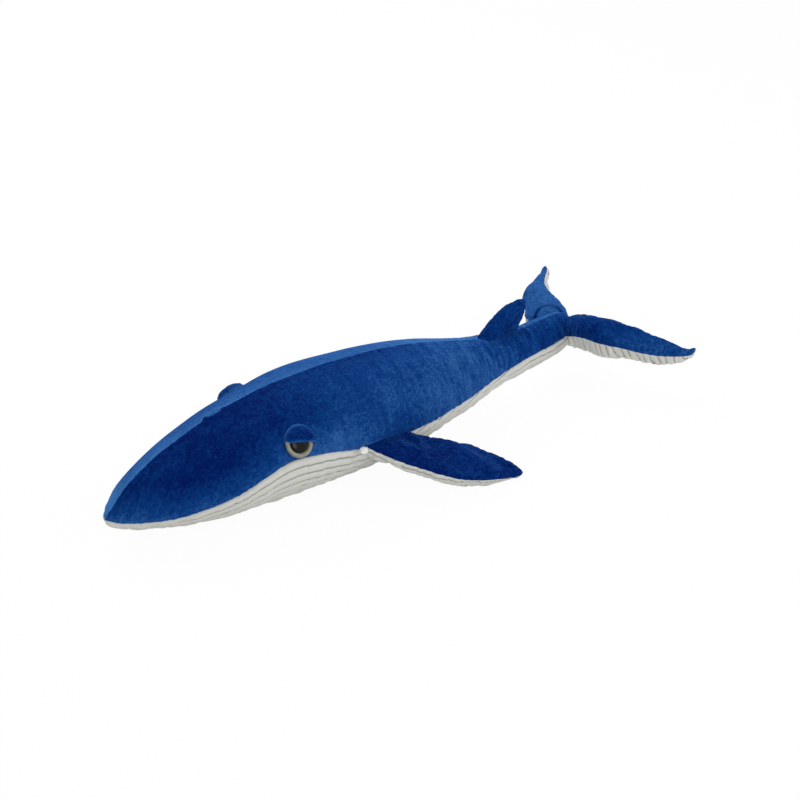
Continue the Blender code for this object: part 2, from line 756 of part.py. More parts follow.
def flipper():
    """The left flipper, swept back and drooping from a line on the body's side."""
    shares = (FLIPPER_ROOT_SHARES[0], sum(FLIPPER_ROOT_SHARES) / 2, FLIPPER_ROOT_SHARES[1])
    front, middle, rear = (
        side_point(
            share,
            half_section(place_along(share))[BACK_COLUMNS][2] - FLIPPER_DROP_SHARE * BODY_HEIGHT,
        )
        for share in shares
    )
    along = (rear - front).normalized()
    level = Vector((0, -1, 0))
    level = (level - along * level.dot(along)).normalized()
    outward = Matrix.Rotation(math.radians(FLIPPER_DROOP), 3, along) @ level

    def at(out_share, back_share):
        return front + (outward * out_share + along * back_share) * FLIPPER_LENGTH

    rows = root_rows(
        front, middle, rear, outward, FLIPPER_ROOT_ROUND, FLIPPER_THICKNESS, ROOT_SLACK
    )
    rows += [
        (at(lead_out, lead), at(trail_out, trail), thick * FLIPPER_THICKNESS, Vector())
        for lead_out, lead, trail_out, trail, thick in FLIPPER_SHARES
    ]
    up = outward.cross(along)
    skin = limb_skin(rows, at(*FLIPPER_TIP_SHARES), up, UNDERSIDE_SHARE)
    return skin, *flexing_line(rows, up, UNDERSIDE_SHARE)


def dorsal_fin():
    """The fin on the ridge, leaning back."""
    shares = (FIN_ROOT_SHARES[0], sum(FIN_ROOT_SHARES) / 2, FIN_ROOT_SHARES[1])
    front, middle, rear = (Vector(half_section(place_along(share))[0]) for share in shares)
    length = rear - front
    up = Vector((0, 0, 1))

    def at(rise_share, back_share):
        return front + length * back_share + up * rise_share * FIN_HEIGHT

    rows = root_rows(front, middle, rear, up, FIN_ROOT_ROUND, FIN_THICKNESS, ROOT_SLACK)
    rows += [
        (at(rise, lead), at(rise, trail), thick * FIN_THICKNESS, Vector())
        for rise, lead, trail, thick in FIN_SHARES
    ]
    across = Vector((0, -1, 0))
    return limb_skin(rows, at(*FIN_TIP_SHARES), across), *flexing_line(rows, across)


def fluke():
    """The left fluke, from the side of the tail stock's end out to its tip."""
    front, rear = (
        side_point(share, up_share * FLUKE_HEIGHT)
        for share, up_share in zip(FLUKE_ROOT_SHARES, FLUKE_ROOT_UP_SHARES)
    )
    middle = side_point(sum(FLUKE_ROOT_SHARES) / 2, (front.z + rear.z) / 2)
    outward = (rear - front).cross(Vector((0, 0, 1))).normalized()
    reach = OVERALL_LENGTH / 2 - front.x

    def at(back_share, out_share, up_share):
        return Vector(
            (front.x + back_share * reach, -out_share * FLUKE_SPAN, up_share * FLUKE_HEIGHT)
        )

    rows = root_rows(
        front, middle, rear, outward, FLUKE_ROOT_ROUND, FLUKE_THICKNESS, FLUKE_ROOT_SLACK
    )
    rows += [
        (at(*row[:3]), at(*row[3:6]), row[6] * FLUKE_THICKNESS, Vector()) for row in FLUKE_SHARES
    ]
    up = Vector((0, 0, 1))
    skin = limb_skin(rows, at(*FLUKE_TIP_SHARES), up, UNDERSIDE_SHARE)
    return skin, *flexing_line(rows, up, UNDERSIDE_SHARE)


FLIPPER_SKIN, FLIPPER_SPOT, FLIPPER_AXIS = flipper()
FIN_SKIN, FIN_SPOT, FIN_AXIS = dorsal_fin()
FLUKE_SKIN, FLUKE_SPOT, FLUKE_AXIS = fluke()
words, blue_and_white = ("top", "underside"), (NAVY, CREAM_WHITE)
both_sides("flipper", limb("flipper", FLIPPER_SKIN, words, blue_and_white), FLIPPER_SPOT)
both_sides("fluke", limb("fluke", FLUKE_SKIN, words, blue_and_white), FLUKE_SPOT)
pivot_on(
    "dorsal_fin_pivot",
    limb("dorsal_fin", FIN_SKIN, ("panel_left", "panel_right"), (NAVY, NAVY)),
    FIN_SPOT,
)
pivot_on("tail_pivot", [*tail_backs.values(), tail_belly, tail_filling], TAIL_AXIS)

for label, spot, axis in (
    ("tail bend", TAIL_AXIS, Vector((0, 1, 0))),
    ("flipper", FLIPPER_SPOT, FLIPPER_AXIS),
    ("dorsal fin", FIN_SPOT, FIN_AXIS),
    ("fluke", FLUKE_SPOT, FLUKE_AXIS),
):
    print(label, [round(value, 5) for value in spot], [round(value, 5) for value in axis])
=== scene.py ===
"""A large plush whale: cut and sewn cloth over stuffing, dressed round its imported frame.

Metres, +Z up. The nose points to -X and the whale's left side to -Y.
"""

import math

import bmesh
import bpy
import numpy as np
from mathutils import Matrix, Vector, noise


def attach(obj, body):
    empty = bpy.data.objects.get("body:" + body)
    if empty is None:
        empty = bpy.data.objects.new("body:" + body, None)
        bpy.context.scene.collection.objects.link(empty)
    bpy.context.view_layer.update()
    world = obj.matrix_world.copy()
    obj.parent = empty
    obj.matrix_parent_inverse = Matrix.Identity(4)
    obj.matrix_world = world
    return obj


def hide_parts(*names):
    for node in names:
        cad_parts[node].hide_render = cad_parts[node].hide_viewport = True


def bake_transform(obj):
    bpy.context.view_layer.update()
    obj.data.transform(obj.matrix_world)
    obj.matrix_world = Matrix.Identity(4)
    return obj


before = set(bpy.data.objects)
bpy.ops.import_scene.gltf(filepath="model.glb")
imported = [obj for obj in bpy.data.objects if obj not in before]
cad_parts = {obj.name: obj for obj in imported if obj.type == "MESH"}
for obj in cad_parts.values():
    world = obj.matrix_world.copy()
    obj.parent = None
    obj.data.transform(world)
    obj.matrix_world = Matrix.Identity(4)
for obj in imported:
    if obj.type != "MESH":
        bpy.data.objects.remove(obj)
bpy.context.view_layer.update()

# Studio: the whale lies on a white sheet under wide, soft lamps. The photograph was taken from
# well back with a long lens, level with the eye's side and looking down over the head.
AZIMUTH, ELEVATION = math.radians(-37.4), math.radians(30.35)
DISTANCE = 2.8075
TARGET = Vector((0.010, -0.0288, 0.0788))
LENS_MM, SENSOR_MM = 81.0, 36.0
WHITE_SHEET = "#F4F4F2"
# Each lamp's place, its width and its power in watts
LAMPS = (
    ((-1.3, -2.0, 1.3), 1.8, 20.0),
    ((1.7, -1.6, 1.6), 1.8, 26.0),
    ((0.0, 1.9, 1.9), 2.2, 46.0),
)
SKY_WHITE, SKY_STRENGTH = "#FFFFFF", 0.40
# How much of the sheet is washed out to white, as in the photograph, and how far it reaches
SHEET_GLOW, SHEET_REACH = 0.96, 20


def linear(colour):
    """A colour written as sRGB hex, as the linear values that a shader takes."""
    channels = (int(colour[i : i + 2], 16) / 255 for i in (1, 3, 5))
    turned = (c / 12.92 if c <= 0.04045 else ((c + 0.055) / 1.055) ** 2.4 for c in channels)
    return (*turned, 1.0)


def new_material(name):
    material = bpy.data.materials.new(name)
    material.use_nodes = True
    material.node_tree.nodes.clear()
    return material


def add(material, kind, inputs=(), **settings):
    """Adds a shader node with its settings. An input is a value or another node's output."""
    node = material.node_tree.nodes.new("ShaderNode" + kind)
    for name, value in settings.items():
        setattr(node, name, value)
    for name, value in dict(inputs).items():
        if isinstance(value, bpy.types.NodeSocket):
            material.node_tree.links.new(value, node.inputs[name])
        else:
            node.inputs[name].default_value = value
    return node


def made_of(name, bm, material):
    """An object of a material from a mesh under work, which ends with it."""
    piece = bpy.data.objects.new(name, bpy.data.meshes.new(name))
    bm.to_mesh(piece.data)
    bm.free()
    piece.data.shade_smooth()
    piece.data.materials.append(material)
    bpy.context.scene.collection.objects.link(piece)
    return piece


level = math.cos(ELEVATION)
back = Vector((math.sin(AZIMUTH) * level, -math.cos(AZIMUTH) * level, math.sin(ELEVATION)))
camera = bpy.data.objects.new("camera", bpy.data.cameras.new("camera"))
camera.data.lens, camera.data.sensor_width = LENS_MM, SENSOR_MM
camera.location = TARGET + back * DISTANCE
camera.rotation_mode = "QUATERNION"
camera.rotation_quaternion = (-back).to_track_quat("-Z", "Y")
bpy.context.scene.collection.objects.link(camera)
bpy.context.scene.camera = camera

for number, (place, width, power) in enumerate(LAMPS):
    lamp = bpy.data.objects.new(f"softbox_{number}", bpy.data.lights.new("softbox", "AREA"))
    lamp.data.shape, lamp.data.size, lamp.data.energy = "DISK", width, power
    lamp.location = place
    lamp.rotation_mode = "QUATERNION"
    lamp.rotation_quaternion = (TARGET - lamp.location).to_track_quat("-Z", "Y")
    bpy.context.scene.collection.objects.link(lamp)


def seen_directly(material):
    """1 for what the camera sees, also by a reflection or through something clear."""
    path = add(material, "LightPath").outputs
    seen = path["Is Camera Ray"]
    for kind in ("Is Glossy Ray", "Is Transmission Ray"):
        seen = add(material, "Math", {0: seen, 1: path[kind]}, operation="ADD", use_clamp=True)
        seen = seen.outputs[0]
    return seen


world = bpy.data.worlds.new("studio")
world.use_nodes = True
world.node_tree.nodes.clear()
strength = {0: seen_directly(world), 1: 1 - SKY_STRENGTH, 2: SKY_STRENGTH}
strength = add(world, "Math", strength, operation="MULTIPLY_ADD").outputs[0]
sky = add(world, "Background", {"Color": linear(SKY_WHITE), "Strength": strength})
add(world, "OutputWorld", {"Surface": sky.outputs[0]})
bpy.context.scene.world = world
bpy.context.scene.view_settings.view_transform = "Standard"

sheet = new_material("white paper sheet")
paper = add(sheet, "BsdfDiffuse", {"Color": linear(WHITE_SHEET)})
glow = add(sheet, "Emission", {"Color": linear(SKY_WHITE), "Strength": 1.0})
washed_out = {"Fac": SHEET_GLOW, 1: paper.outputs[0], 2: glow.outputs[0]}
as_photographed = add(sheet, "MixShader", washed_out).outputs[0]
as_seen = {"Fac": seen_directly(sheet), 1: paper.outputs[0], 2: as_photographed}
add(sheet, "OutputMaterial", {"Surface": add(sheet, "MixShader", as_seen).outputs[0]})
bm = bmesh.new()
bmesh.ops.create_grid(bm, x_segments=1, y_segments=1, size=SHEET_REACH)
made_of("floor", bm, sheet)

# Blue velboa: a knitted polyester cloth with a pile about 1.5 mm long. The pile hides the knit,
# looks dark where it stands towards the eye and pale where it lies over, and handling leaves it
# crushed in small patches. Its tips catch the light where it is seen along the surface. Its colour
# runs from dark to pale with how far the pile is laid over, and that share also carries painted
# shade where the cloth faces the camera and painted sheen where it is seen along the surface.
STANDING_PILE_PAINTED_SHADE, HALF_LAID_PILE, LAID_PILE_PAINTED_SHEEN = "#001A5C", "#0A3B7F", "#396DAD"
STANDING_AT, HALF_LAID_AT, LAID_AT = 0.05, 0.45, 1.0
PILE_SHEEN = "#4F9CFF"
# How wide the tufts, the crushed spots, the strokes of a hand and the patches they leave are,
# and how much the cloth's tone changes with each. The tufts are drawn coarser than they are.
TUFT_MM, CRUSHED_MM, STROKE_MM, PATCH_MM = 2.0, 5.0, 16.0, 80.0
TUFT_TONE, CRUSHED_TONE, STROKE_TONE, PATCH_TONE = 0.55, 0.60, 0.60, 0.35
TUFT_DEPTH, CRUSHED_DEPTH = 0.0014, 0.0026
STROKE_NARROWED = 1.7
# A brush leaves streaks that are narrow along the whale and long round it
BRUSHED_MM, BRUSHED_STRETCH = 9.0, 0.15


def velboa(name):
    """Velboa. Each point gives how laid its pile is, painted light included, and how brushed."""
    material = new_material(name)
    place = add(material, "TexCoord").outputs["Object"]
    laid_and_painted_light, along, around, brushed = (
        add(material, "Attribute", attribute_name=key).outputs["Fac"]
        for key in ("laid_and_painted_light", "along", "around", "brushed")
    )
    cloth = add(material, "CombineXYZ", {"X": along, "Y": around}).outputs[0]
    narrowed, drawn_long = (
        add(material, "Mapping", {"Vector": cloth, "Scale": (1.0, scale, 1.0)}).outputs[0]
        for scale in (STROKE_NARROWED, BRUSHED_STRETCH)
    )
    noises = (
        (place, PATCH_MM, {"Detail": 3.0, "Distortion": 0.8}),
        (narrowed, STROKE_MM, {"Detail": 4.0, "Roughness": 0.62, "Distortion": 1.2}),
        (place, CRUSHED_MM, {"Detail": 3.0, "Roughness": 0.6}),
        (place, TUFT_MM, {"Detail": 2.0, "Roughness": 0.7}),
        (drawn_long, BRUSHED_MM, {"Detail": 3.0, "Distortion": 0.6}),
    )
    patches, strokes, crushed, tufts, streaks = (
        add(material, "TexNoise", {"Vector": at, "Scale": 1000 / mm, **more}).outputs["Fac"]
        for at, mm, more in noises
    )
    half = add(material, "Math", {0: streaks, 1: 0.5}, operation="SUBTRACT").outputs[0]
    swept = {0: half, 1: brushed, 2: laid_and_painted_light}
    tone = add(material, "Math", swept, operation="MULTIPLY_ADD").outputs[0]
    for pattern, change in (
        (patches, PATCH_TONE),
        (strokes, STROKE_TONE),
        (crushed, CRUSHED_TONE),
        (tufts, TUFT_TONE),
    ):
        shift = {0: pattern, 1: change, 2: -change / 2}
        shift = add(material, "Math", shift, operation="MULTIPLY_ADD").outputs[0]
        tone = add(material, "Math", {0: tone, 1: shift}, operation="ADD").outputs[0]
    # The ramp runs from dark pile in painted shade to pale pile in painted sheen
    ramp = add(material, "ValToRGB", {"Fac": tone})
    standing_painted_shade, laid_over_painted_sheen = ramp.color_ramp.elements
    standing_painted_shade.position, standing_painted_shade.color = STANDING_AT, linear(STANDING_PILE_PAINTED_SHADE)
    laid_over_painted_sheen.position, laid_over_painted_sheen.color = LAID_AT, linear(LAID_PILE_PAINTED_SHEEN)
    ramp.color_ramp.elements.new(HALF_LAID_AT).color = linear(HALF_LAID_PILE)
    lie = {"Height": crushed, "Strength": 0.7, "Distance": CRUSHED_DEPTH}
    lie = add(material, "Bump", lie).outputs[0]
    pile = {"Height": tufts, "Strength": 0.8, "Distance": TUFT_DEPTH, "Normal": lie}
    pile = add(material, "Bump", pile).outputs[0]
    surface = {
        "Base Color": ramp.outputs["Color"],
        "Roughness": 0.95,
        "Specular IOR Level": 0.03,
        "Sheen Weight": 0.55,
        "Sheen Roughness": 0.30,
        "Sheen Tint": linear(PILE_SHEEN),
        "Normal": pile,
    }
    surface = add(material, "BsdfPrincipled", surface).outputs[0]
    add(material, "OutputMaterial", {"Surface": surface})
    return material


# Back: two long blue panels, sewn together down the ridge and each sewn to the belly. They are
# cut a little full and eased onto the belly, so the seams draw small puckers, and the cloth lies
# in fine rings where the tail stock bends.
LENGTH = 1.000
BODY_LENGTH, BODY_HEIGHT, BODY_WIDTH = 0.895 * LENGTH, 0.171, 0.218
# Along the body, then top, bottom, half width, widest place and belly seam, each a share
BODY_SHARES = (
    (0.000, 0.280, 0.280, 0.00, 0.280, 0.280),
    (0.004, 0.350, 0.215, 0.12, 0.285, 0.295),
    (0.017, 0.430, 0.175, 0.24, 0.290, 0.278),
    (0.049, 0.570, 0.125, 0.41, 0.315, 0.262),
    (0.107, 0.725, 0.060, 0.60, 0.350, 0.265),
    (0.185, 0.838, 0.014, 0.79, 0.400, 0.358),
    (0.240, 0.907, 0.000, 0.87, 0.440, 0.474),
    (0.293, 0.954, 0.000, 0.93, 0.465, 0.560),
    (0.349, 0.985, 0.000, 0.97, 0.475, 0.536),
    (0.410, 0.998, 0.000, 1.00, 0.465, 0.466),
    (0.475, 0.982, 0.000, 0.98, 0.445, 0.415),
    (0.558, 0.939, 0.000, 0.87, 0.415, 0.354),
    (0.645, 0.850, 0.030, 0.70, 0.390, 0.322),
    (0.762, 0.690, 0.115, 0.46, 0.385, 0.350),
    (0.860, 0.618, 0.180, 0.31, 0.390, 0.392),
    (0.922, 0.628, 0.205, 0.30, 0.405, 0.425),
    (0.968, 0.625, 0.260, 0.25, 0.430, 0.455),
    (0.990, 0.560, 0.360, 0.08, 0.460, 0.470),
    (0.998, 0.465, 0.465, 0.00, 0.465, 0.465),
)
# How full the sections are: above the widest place, at the nose and further back, then below it
RIDGE_POWERS, RIDGE_FADES_SHARE, BELLY_POWER = (1.55, 2.0), 0.60, 2.2
# The seam stays within these shares of the way from the ridge to the middle of the belly
SEWN_SHARES = 0.03, 0.97
BODY_ROWS, BACK_COLUMNS = 560, 84
SECTION_POINTS, STEPS_PER_ROW = 181, 60
MERGED_WITHIN = 0.00005
SIDES = {"left": -1, "right": 1}
# The back and the belly share these, so that their puckers meet at the seam
BODY_SEEDS = {"left": 3.7, "right": 41.3}
# Noise seldom passes 0.6, and this brings it to about 1
NOISE_FULL = 1.6
# Relief is full where a panel is wider than this
FULL_RELIEF_WIDTH = 0.05
# Seams turn the cloth in, and the ridge seam also draws it up into a crest that ripples
SEAM_TUCK, SEAM_TUCK_WIDTH = 0.0032, 0.0085
RIDGE_CREST, RIDGE_CREST_WIDTH = 0.0026, 0.0075
RIDGE_RIPPLE, RIDGE_RIPPLE_WAVE, RIDGE_RIPPLE_REACH, RIDGE_SEED = 0.0007, 0.017, 0.012, 2.2
# Where along the whale the ridge is drawn up sharp, and how far it sways to the left
SHARP_RIDGE = ((-0.50, -0.10, 0.10, 0.20), (1.0, 0.8, 0.35, 0.0))
RIDGE_SWAY = (
    (-0.500, -0.485, -0.460, -0.430, -0.380, -0.345, -0.300, -0.210, -0.150),
    (0.0110, 0.0085, 0.0070, 0.0050, 0.0020, -0.0030, -0.0040, -0.0040, 0.0),
)
SWAY_REACH, SWAY_FULL_WIDTH = 0.022, 0.03
# Lumps of the stuffing and puckers along the seams. Lumps and rings die out by the ridge.
LUMP_HEIGHT, LUMP_WAVE, OFF_RIDGE = 0.0016, 0.150, 0.03
PUCKER_HEIGHT, PUCKER_WAVES, PUCKER_REACH = 0.0011, (0.013, 0.06, 0.06), 0.016
# Rings round the tail stock, cut up by finer ones, and how far they stray from straight
RINGS_ALONG = ((0.10, 0.20, 0.33, 0.38), (0.0, 1.0, 1.0, 0.0))
RING_HEIGHT, RING_WAVES = 0.0006, (0.0105, 0.10, 0.10)
FINE_RING_SHARE, FINE_RING_WAVES = 0.6, (0.0063, 0.07, 0.07)
RING_STRAY, RING_STRAY_WAVE = 0.006, 0.11
# The blowhole: a flap of cloth that starts bluntly and falls away behind, with a slit in it
BLOWHOLE_X, BLOWHOLE_LENGTH, BLOWHOLE_WIDTH, BLOWHOLE_HEIGHT = -0.327, 0.026, 0.010, 0.0060
FLAP_FRONT_SHARE, FLAP_BLUNT_SHARE, FLAP_FALLS_SHARE = 0.10, 0.035, 0.2
SLIT_WIDTH, SLIT_DEPTH, SLIT_MIDDLE_SHARE, SLIT_HALF_SHARE = 0.0024, 0.0042, 0.75, 0.5


def smooth_rows(rows, places):
    """Values at places counted in rows, on smooth curves through the rows."""
    rows, places = np.array(rows, float), np.atleast_1d(places)
    first = np.clip(places.astype(int), 0, len(rows) - 2)
    f = (places - first)[:, None]
    a, b, c, d = (rows[np.clip(first + step, 0, len(rows) - 1)] for step in (-1, 0, 1, 2))
    return (
        b
        + (c - a) * f / 2
        + (a - 5 * b / 2 + 2 * c - d / 2) * f**2
        + (3 * (b - c) + d - a) * f**3 / 2
    )


def run_along(line):
    """Distance of each point of a line from its first point."""
    steps = np.linalg.norm(np.diff(line, axis=0), axis=1)
    return np.concatenate([[0], np.cumsum(steps)])


def even_places(rows, sizes, count):
    """Places counted in rows, at even steps along a curve of the rows' first values."""
    places = np.linspace(0, len(rows) - 1, STEPS_PER_ROW * len(rows))
    curve = smooth_rows(rows, places)[:, : len(sizes)] * sizes
    run = run_along(curve)
    return np.interp(np.linspace(0, run[-1], count), run, places)


def points_at(line, distances):
    """Points on a line at distances from its first point."""
    run = run_along(line)
    return np.stack([np.interp(distances, run, line[:, axis]) for axis in range(3)], axis=1)


def half_section(place):
    """The left half of a body section, from the ridge down, and how far down it is sewn."""
    along, top, bottom, half, widest, seam = smooth_rows(BODY_SHARES, place)[0]
    fade = min(along / RIDGE_FADES_SHARE, 1)
    ridge_power = RIDGE_POWERS[0] + (RIDGE_POWERS[1] - RIDGE_POWERS[0]) * fade
    angles = np.linspace(0, math.pi, SECTION_POINTS)
    upper = angles < math.pi / 2
    power = np.where(upper, 2 / ridge_power, 2 / BELLY_POWER)
    reach = np.where(upper, top - widest, widest - bottom) * BODY_HEIGHT
    across = -half * BODY_WIDTH / 2 * np.abs(np.sin(angles)) ** power
    height = widest * BODY_HEIGHT
    height = height + reach * np.sign(np.cos(angles)) * np.abs(np.cos(angles)) ** power
    x = np.full_like(across, along * BODY_LENGTH - LENGTH / 2)
    line = np.stack([x, across, np.maximum(height, 0)], axis=1)
    run = run_along(line)
    sewn = float(np.interp(-seam * BODY_HEIGHT, -height, run))
    return line, min(max(sewn, SEWN_SHARES[0] * run[-1]), SEWN_SHARES[1] * run[-1])


def outward(grid, inside):
    """Unit directions square to a grid of points, away from a line inside it."""
    out = np.cross(np.gradient(grid, axis=0), np.gradient(grid, axis=1))
    out /= np.maximum(np.linalg.norm(out, axis=2, keepdims=True), 1e-12)
    return out * np.sign(np.median(np.sum(out * (grid - inside), axis=2)))


def ripples(grid, waves, seed):
    """Smooth noise from about -1 to 1 over a grid of points, with a wave length on each axis."""
    flat = grid.reshape(-1, 3) / (np.array(waves) / 2) + seed
    return NOISE_FULL * np.array([noise.noise(point) for point in flat]).reshape(grid.shape[:2])


def bell(distance, middle, width):
    """1 at the middle, and falling smoothly to almost nothing at twice the width from it."""
    return np.exp(-(((distance - middle) / width) ** 2))


def stuffed_relief(grid, from_seam, seed, lumpy=1.0):
    """How far the body's cloth stands out over lumps, with puckers and a tuck at its seam."""
    move = LUMP_HEIGHT * lumpy * ripples(grid, (LUMP_WAVE,) * 3, seed)
    puckers = ripples(grid, PUCKER_WAVES, seed + 9)
    move += PUCKER_HEIGHT * np.exp(-from_seam / PUCKER_REACH) * puckers
    near = np.clip(1 - from_seam / SEAM_TUCK_WIDTH, 0, 1)
    return move - SEAM_TUCK * (1 - np.sqrt(1 - near**2))


def from_edge(grid, last=False):
    """Distance of each point from its row's first or last point, along the row."""
    steps = np.linalg.norm(np.diff(grid, axis=1), axis=2)
    run = np.concatenate([np.zeros((len(grid), 1)), np.cumsum(steps, axis=1)], axis=1)
    return run[:, -1:] - run if last else run


def grid_mesh(grid):
    """A mesh over a grid of points, with the row and column of each of its vertices."""
    rows, columns = grid.shape[0] - 1, grid.shape[1] - 1
    bm = bmesh.new()
    bmesh.ops.create_grid(bm, x_segments=columns, y_segments=rows, size=1)
    places = [
        (round((v.co.y + 1) / 2 * rows), round((v.co.x + 1) / 2 * columns)) for v in bm.verts
    ]
    for v, place in zip(bm.verts, places):
        v.co = grid[place]
    return bm, places


def cloth_piece(name, grid, values, material, facing=None):
    """Cloth over a grid of points. Values are numbers for each point that its material reads.

    It faces the way that is given, or outwards where it is closed.
    """
    bm, places = grid_mesh(grid)
    layers = {key: bm.verts.layers.float.new(key) for key in values}
    for v, place in zip(bm.verts, places):
        for key, layer in layers.items():
            v[layer] = values[key][place]
    bmesh.ops.remove_doubles(bm, verts=bm.verts, dist=MERGED_WITHIN)
    total = sum((f.normal * f.calc_area() for f in bm.faces), Vector())
    if facing is None:
        bmesh.ops.recalc_face_normals(bm, faces=bm.faces)
    elif total.dot(Vector(facing)) < 0:
        bmesh.ops.reverse_faces(bm, faces=bm.faces)
    return made_of(name, bm, material)


BODY_PLACES = even_places(BODY_SHARES, (BODY_LENGTH, BODY_HEIGHT), BODY_ROWS + 1)
SECTIONS = [half_section(place) for place in BODY_PLACES]
BACK_GRID = np.array(
    [points_at(line, np.linspace(0, sewn, BACK_COLUMNS + 1)) for line, sewn in SECTIONS]
)
blue_velboa = velboa("brushed blue velboa")
SEAM_LINES = {}
# How far the pile is laid over along the whale, which also paints light and shade on the back. Low
# on the head it is laid further and painted paler, a strip on the right by the ridge is painted
# paler as sheen, and the crest of the back and the cloth above the flippers are painted darker as
# shade.
LAID_AND_PAINTED_LIGHT_ALONG = (
    (-0.50, -0.34, -0.24, -0.14, -0.02, 0.12, 0.20, 0.28, 0.34, 0.39),
    (0.12, 0.05, 0.15, 0.44, 0.61, 0.69, 0.54, 0.36, 0.32, 0.32),
)
LOW_LAID_AND_PAINTED_LIGHT, LAID_LOW_REACH = 0.50, 0.06
LAID_LOW_ALONG = ((-0.2, 0.0), (1.0, 0.0))
# Painted sheen on the right panel by the ridge, along the whale
RIGHT_RIDGE_PAINTED_SHEEN = ((-0.27, -0.12, 0.02, 0.10, 0.18, 0.30), (0.80, 0.46, 0.48, 0.72, 0.76, 0.36))
RIGHT_RIDGE_SHEEN_REACH = 0.09
CREST_PAINTED_SHADE, CREST_X, CREST_SPREAD, CREST_REACH = 0.42, -0.03, 0.12, 0.050
ABOVE_FLIPPER_PAINTED_SHADE, BY_FLIPPER_X, BY_FLIPPER_SPREAD = 0.35, -0.05, 0.08
# How much brush strokes round the body show
BRUSHED_ALONG = ((-0.30, -0.10, 0.05, 0.15, 0.30, 0.40), (0.0, 0.32, 0.55, 0.95, 0.95, 0.4))


def across_tail_bend(piece):
    """Bakes the cloth's placement into its mesh."""
    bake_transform(piece)


def blowhole(x, from_ridge):
    """How far the blowhole stands up from the back."""
    behind = (x - BLOWHOLE_X) / BLOWHOLE_LENGTH
    blunt = 1 / (1 + np.exp(-(behind - FLAP_FRONT_SHARE) / FLAP_BLUNT_SHARE))
    falling = bell(np.maximum(behind, FLAP_FALLS_SHARE), FLAP_FALLS_SHARE, 1)
    flap = blunt * falling * bell(from_ridge, 0, BLOWHOLE_WIDTH)
    slit_end = np.exp(-(((behind - SLIT_MIDDLE_SHARE) / SLIT_HALF_SHARE) ** 4))
    return BLOWHOLE_HEIGHT * flap - SLIT_DEPTH * slit_end * bell(from_ridge, 0, SLIT_WIDTH)


def laid_pile_and_painted_light(x, from_ridge, from_seam, hand):
    """How far the back's pile lies over, 0 where it stands to about 1, with painted light and
    shade.
    """
    low = np.clip(1 - from_seam / LAID_LOW_REACH, 0, 1)
    # Paler low on the head: pile laid further, and painted light
    laid_and_painted_light = np.interp(x, *LAID_AND_PAINTED_LIGHT_ALONG) + LOW_LAID_AND_PAINTED_LIGHT * low * np.interp(x, *LAID_LOW_ALONG)
    # Painted shade darkens the crest of the back
    laid_and_painted_light -= CREST_PAINTED_SHADE * np.exp(-from_ridge / CREST_REACH) * bell(x, CREST_X, CREST_SPREAD)
    # Painted shade darkens the cloth just above the flippers
    laid_and_painted_light -= ABOVE_FLIPPER_PAINTED_SHADE * low * bell(x, BY_FLIPPER_X, BY_FLIPPER_SPREAD)
    # Painted sheen lightens a strip on the right by the ridge
    if hand == "right":
        by_ridge = np.clip(1 - from_ridge / RIGHT_RIDGE_SHEEN_REACH, 0, 1)
        laid_and_painted_light += np.interp(x, *RIGHT_RIDGE_PAINTED_SHEEN) * by_ridge
    return laid_and_painted_light


from_ridge, from_seam = from_edge(BACK_GRID), from_edge(BACK_GRID, last=True)
x, panel_width = BACK_GRID[:, :, 0], from_ridge[:, -1:]
out = outward(BACK_GRID, BACK_GRID[:, :1] * [1, 0, 0.5])
run = np.repeat(run_along(BACK_GRID[:, 0])[:, None], BACK_COLUMNS + 1, axis=1)
off_ridge = np.clip(from_ridge / OFF_RIDGE, 0, 1)
for hand, side in SIDES.items():
    seed = BODY_SEEDS[hand]
    move = stuffed_relief(BACK_GRID, from_seam, seed, off_ridge)
    drawn_up = np.interp(x, *SHARP_RIDGE)
    move += RIDGE_CREST * np.exp(-from_ridge / RIDGE_CREST_WIDTH) * drawn_up
    ridge_ripples = ripples(BACK_GRID, (RIDGE_RIPPLE_WAVE,) * 3, RIDGE_SEED)
    move += RIDGE_RIPPLE * np.exp(-from_ridge / RIDGE_RIPPLE_REACH) * ridge_ripples
    move *= np.clip(panel_width / FULL_RELIEF_WIDTH, 0, 1)
    stray = RING_STRAY * ripples(BACK_GRID, (RING_STRAY_WAVE,) * 3, seed + 5)
    strayed = BACK_GRID + stray[:, :, None] * [1, 0, 0]
    rings = ripples(strayed, RING_WAVES, seed + 21)
    rings -= FINE_RING_SHARE * np.abs(ripples(strayed, FINE_RING_WAVES, seed + 33))
    move += RING_HEIGHT * np.interp(x, *RINGS_ALONG) * off_ridge * rings
    move += blowhole(x, from_ridge)
    grid = (BACK_GRID + out * move[:, :, None]) * [1, -side, 1]
    grid[:, 0, 1] = 0
    sway = np.interp(x, *RIDGE_SWAY) * np.clip(panel_width / SWAY_FULL_WIDTH, 0, 1)
    grid[:, :, 1] -= sway * np.exp(-from_ridge / SWAY_REACH)
    SEAM_LINES[hand] = grid[:, -1].copy()
    values = {
        "along": run,
        "around": from_ridge,
        "laid_and_painted_light": laid_pile_and_painted_light(x, from_ridge, from_seam, hand),
        "brushed": np.interp(x, *BRUSHED_ALONG),
    }
    cloth = cloth_piece(f"back_cloth_{hand}", grid, values, blue_velboa, (0, side, 0.5))
    across_tail_bend(cloth)
    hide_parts(f"back_panel_{hand}", f"tail_back_{hand}")

# White ribbed plush: a wide-wale knit whose ribs stand up as soft rolls, with narrow grooves
# between them that are greyed with painted shade. Its pile is finer and flatter than the blue
# cloth's.
WHITE_PILE, GROOVE_PAINTED_SHADE = "#CECEC9", "#807F79"
RIB_PITCH, RIB_HEIGHT, RIB_STEPS, RIB_ROUNDNESS = 0.0136, 0.0030, 8, 3.2
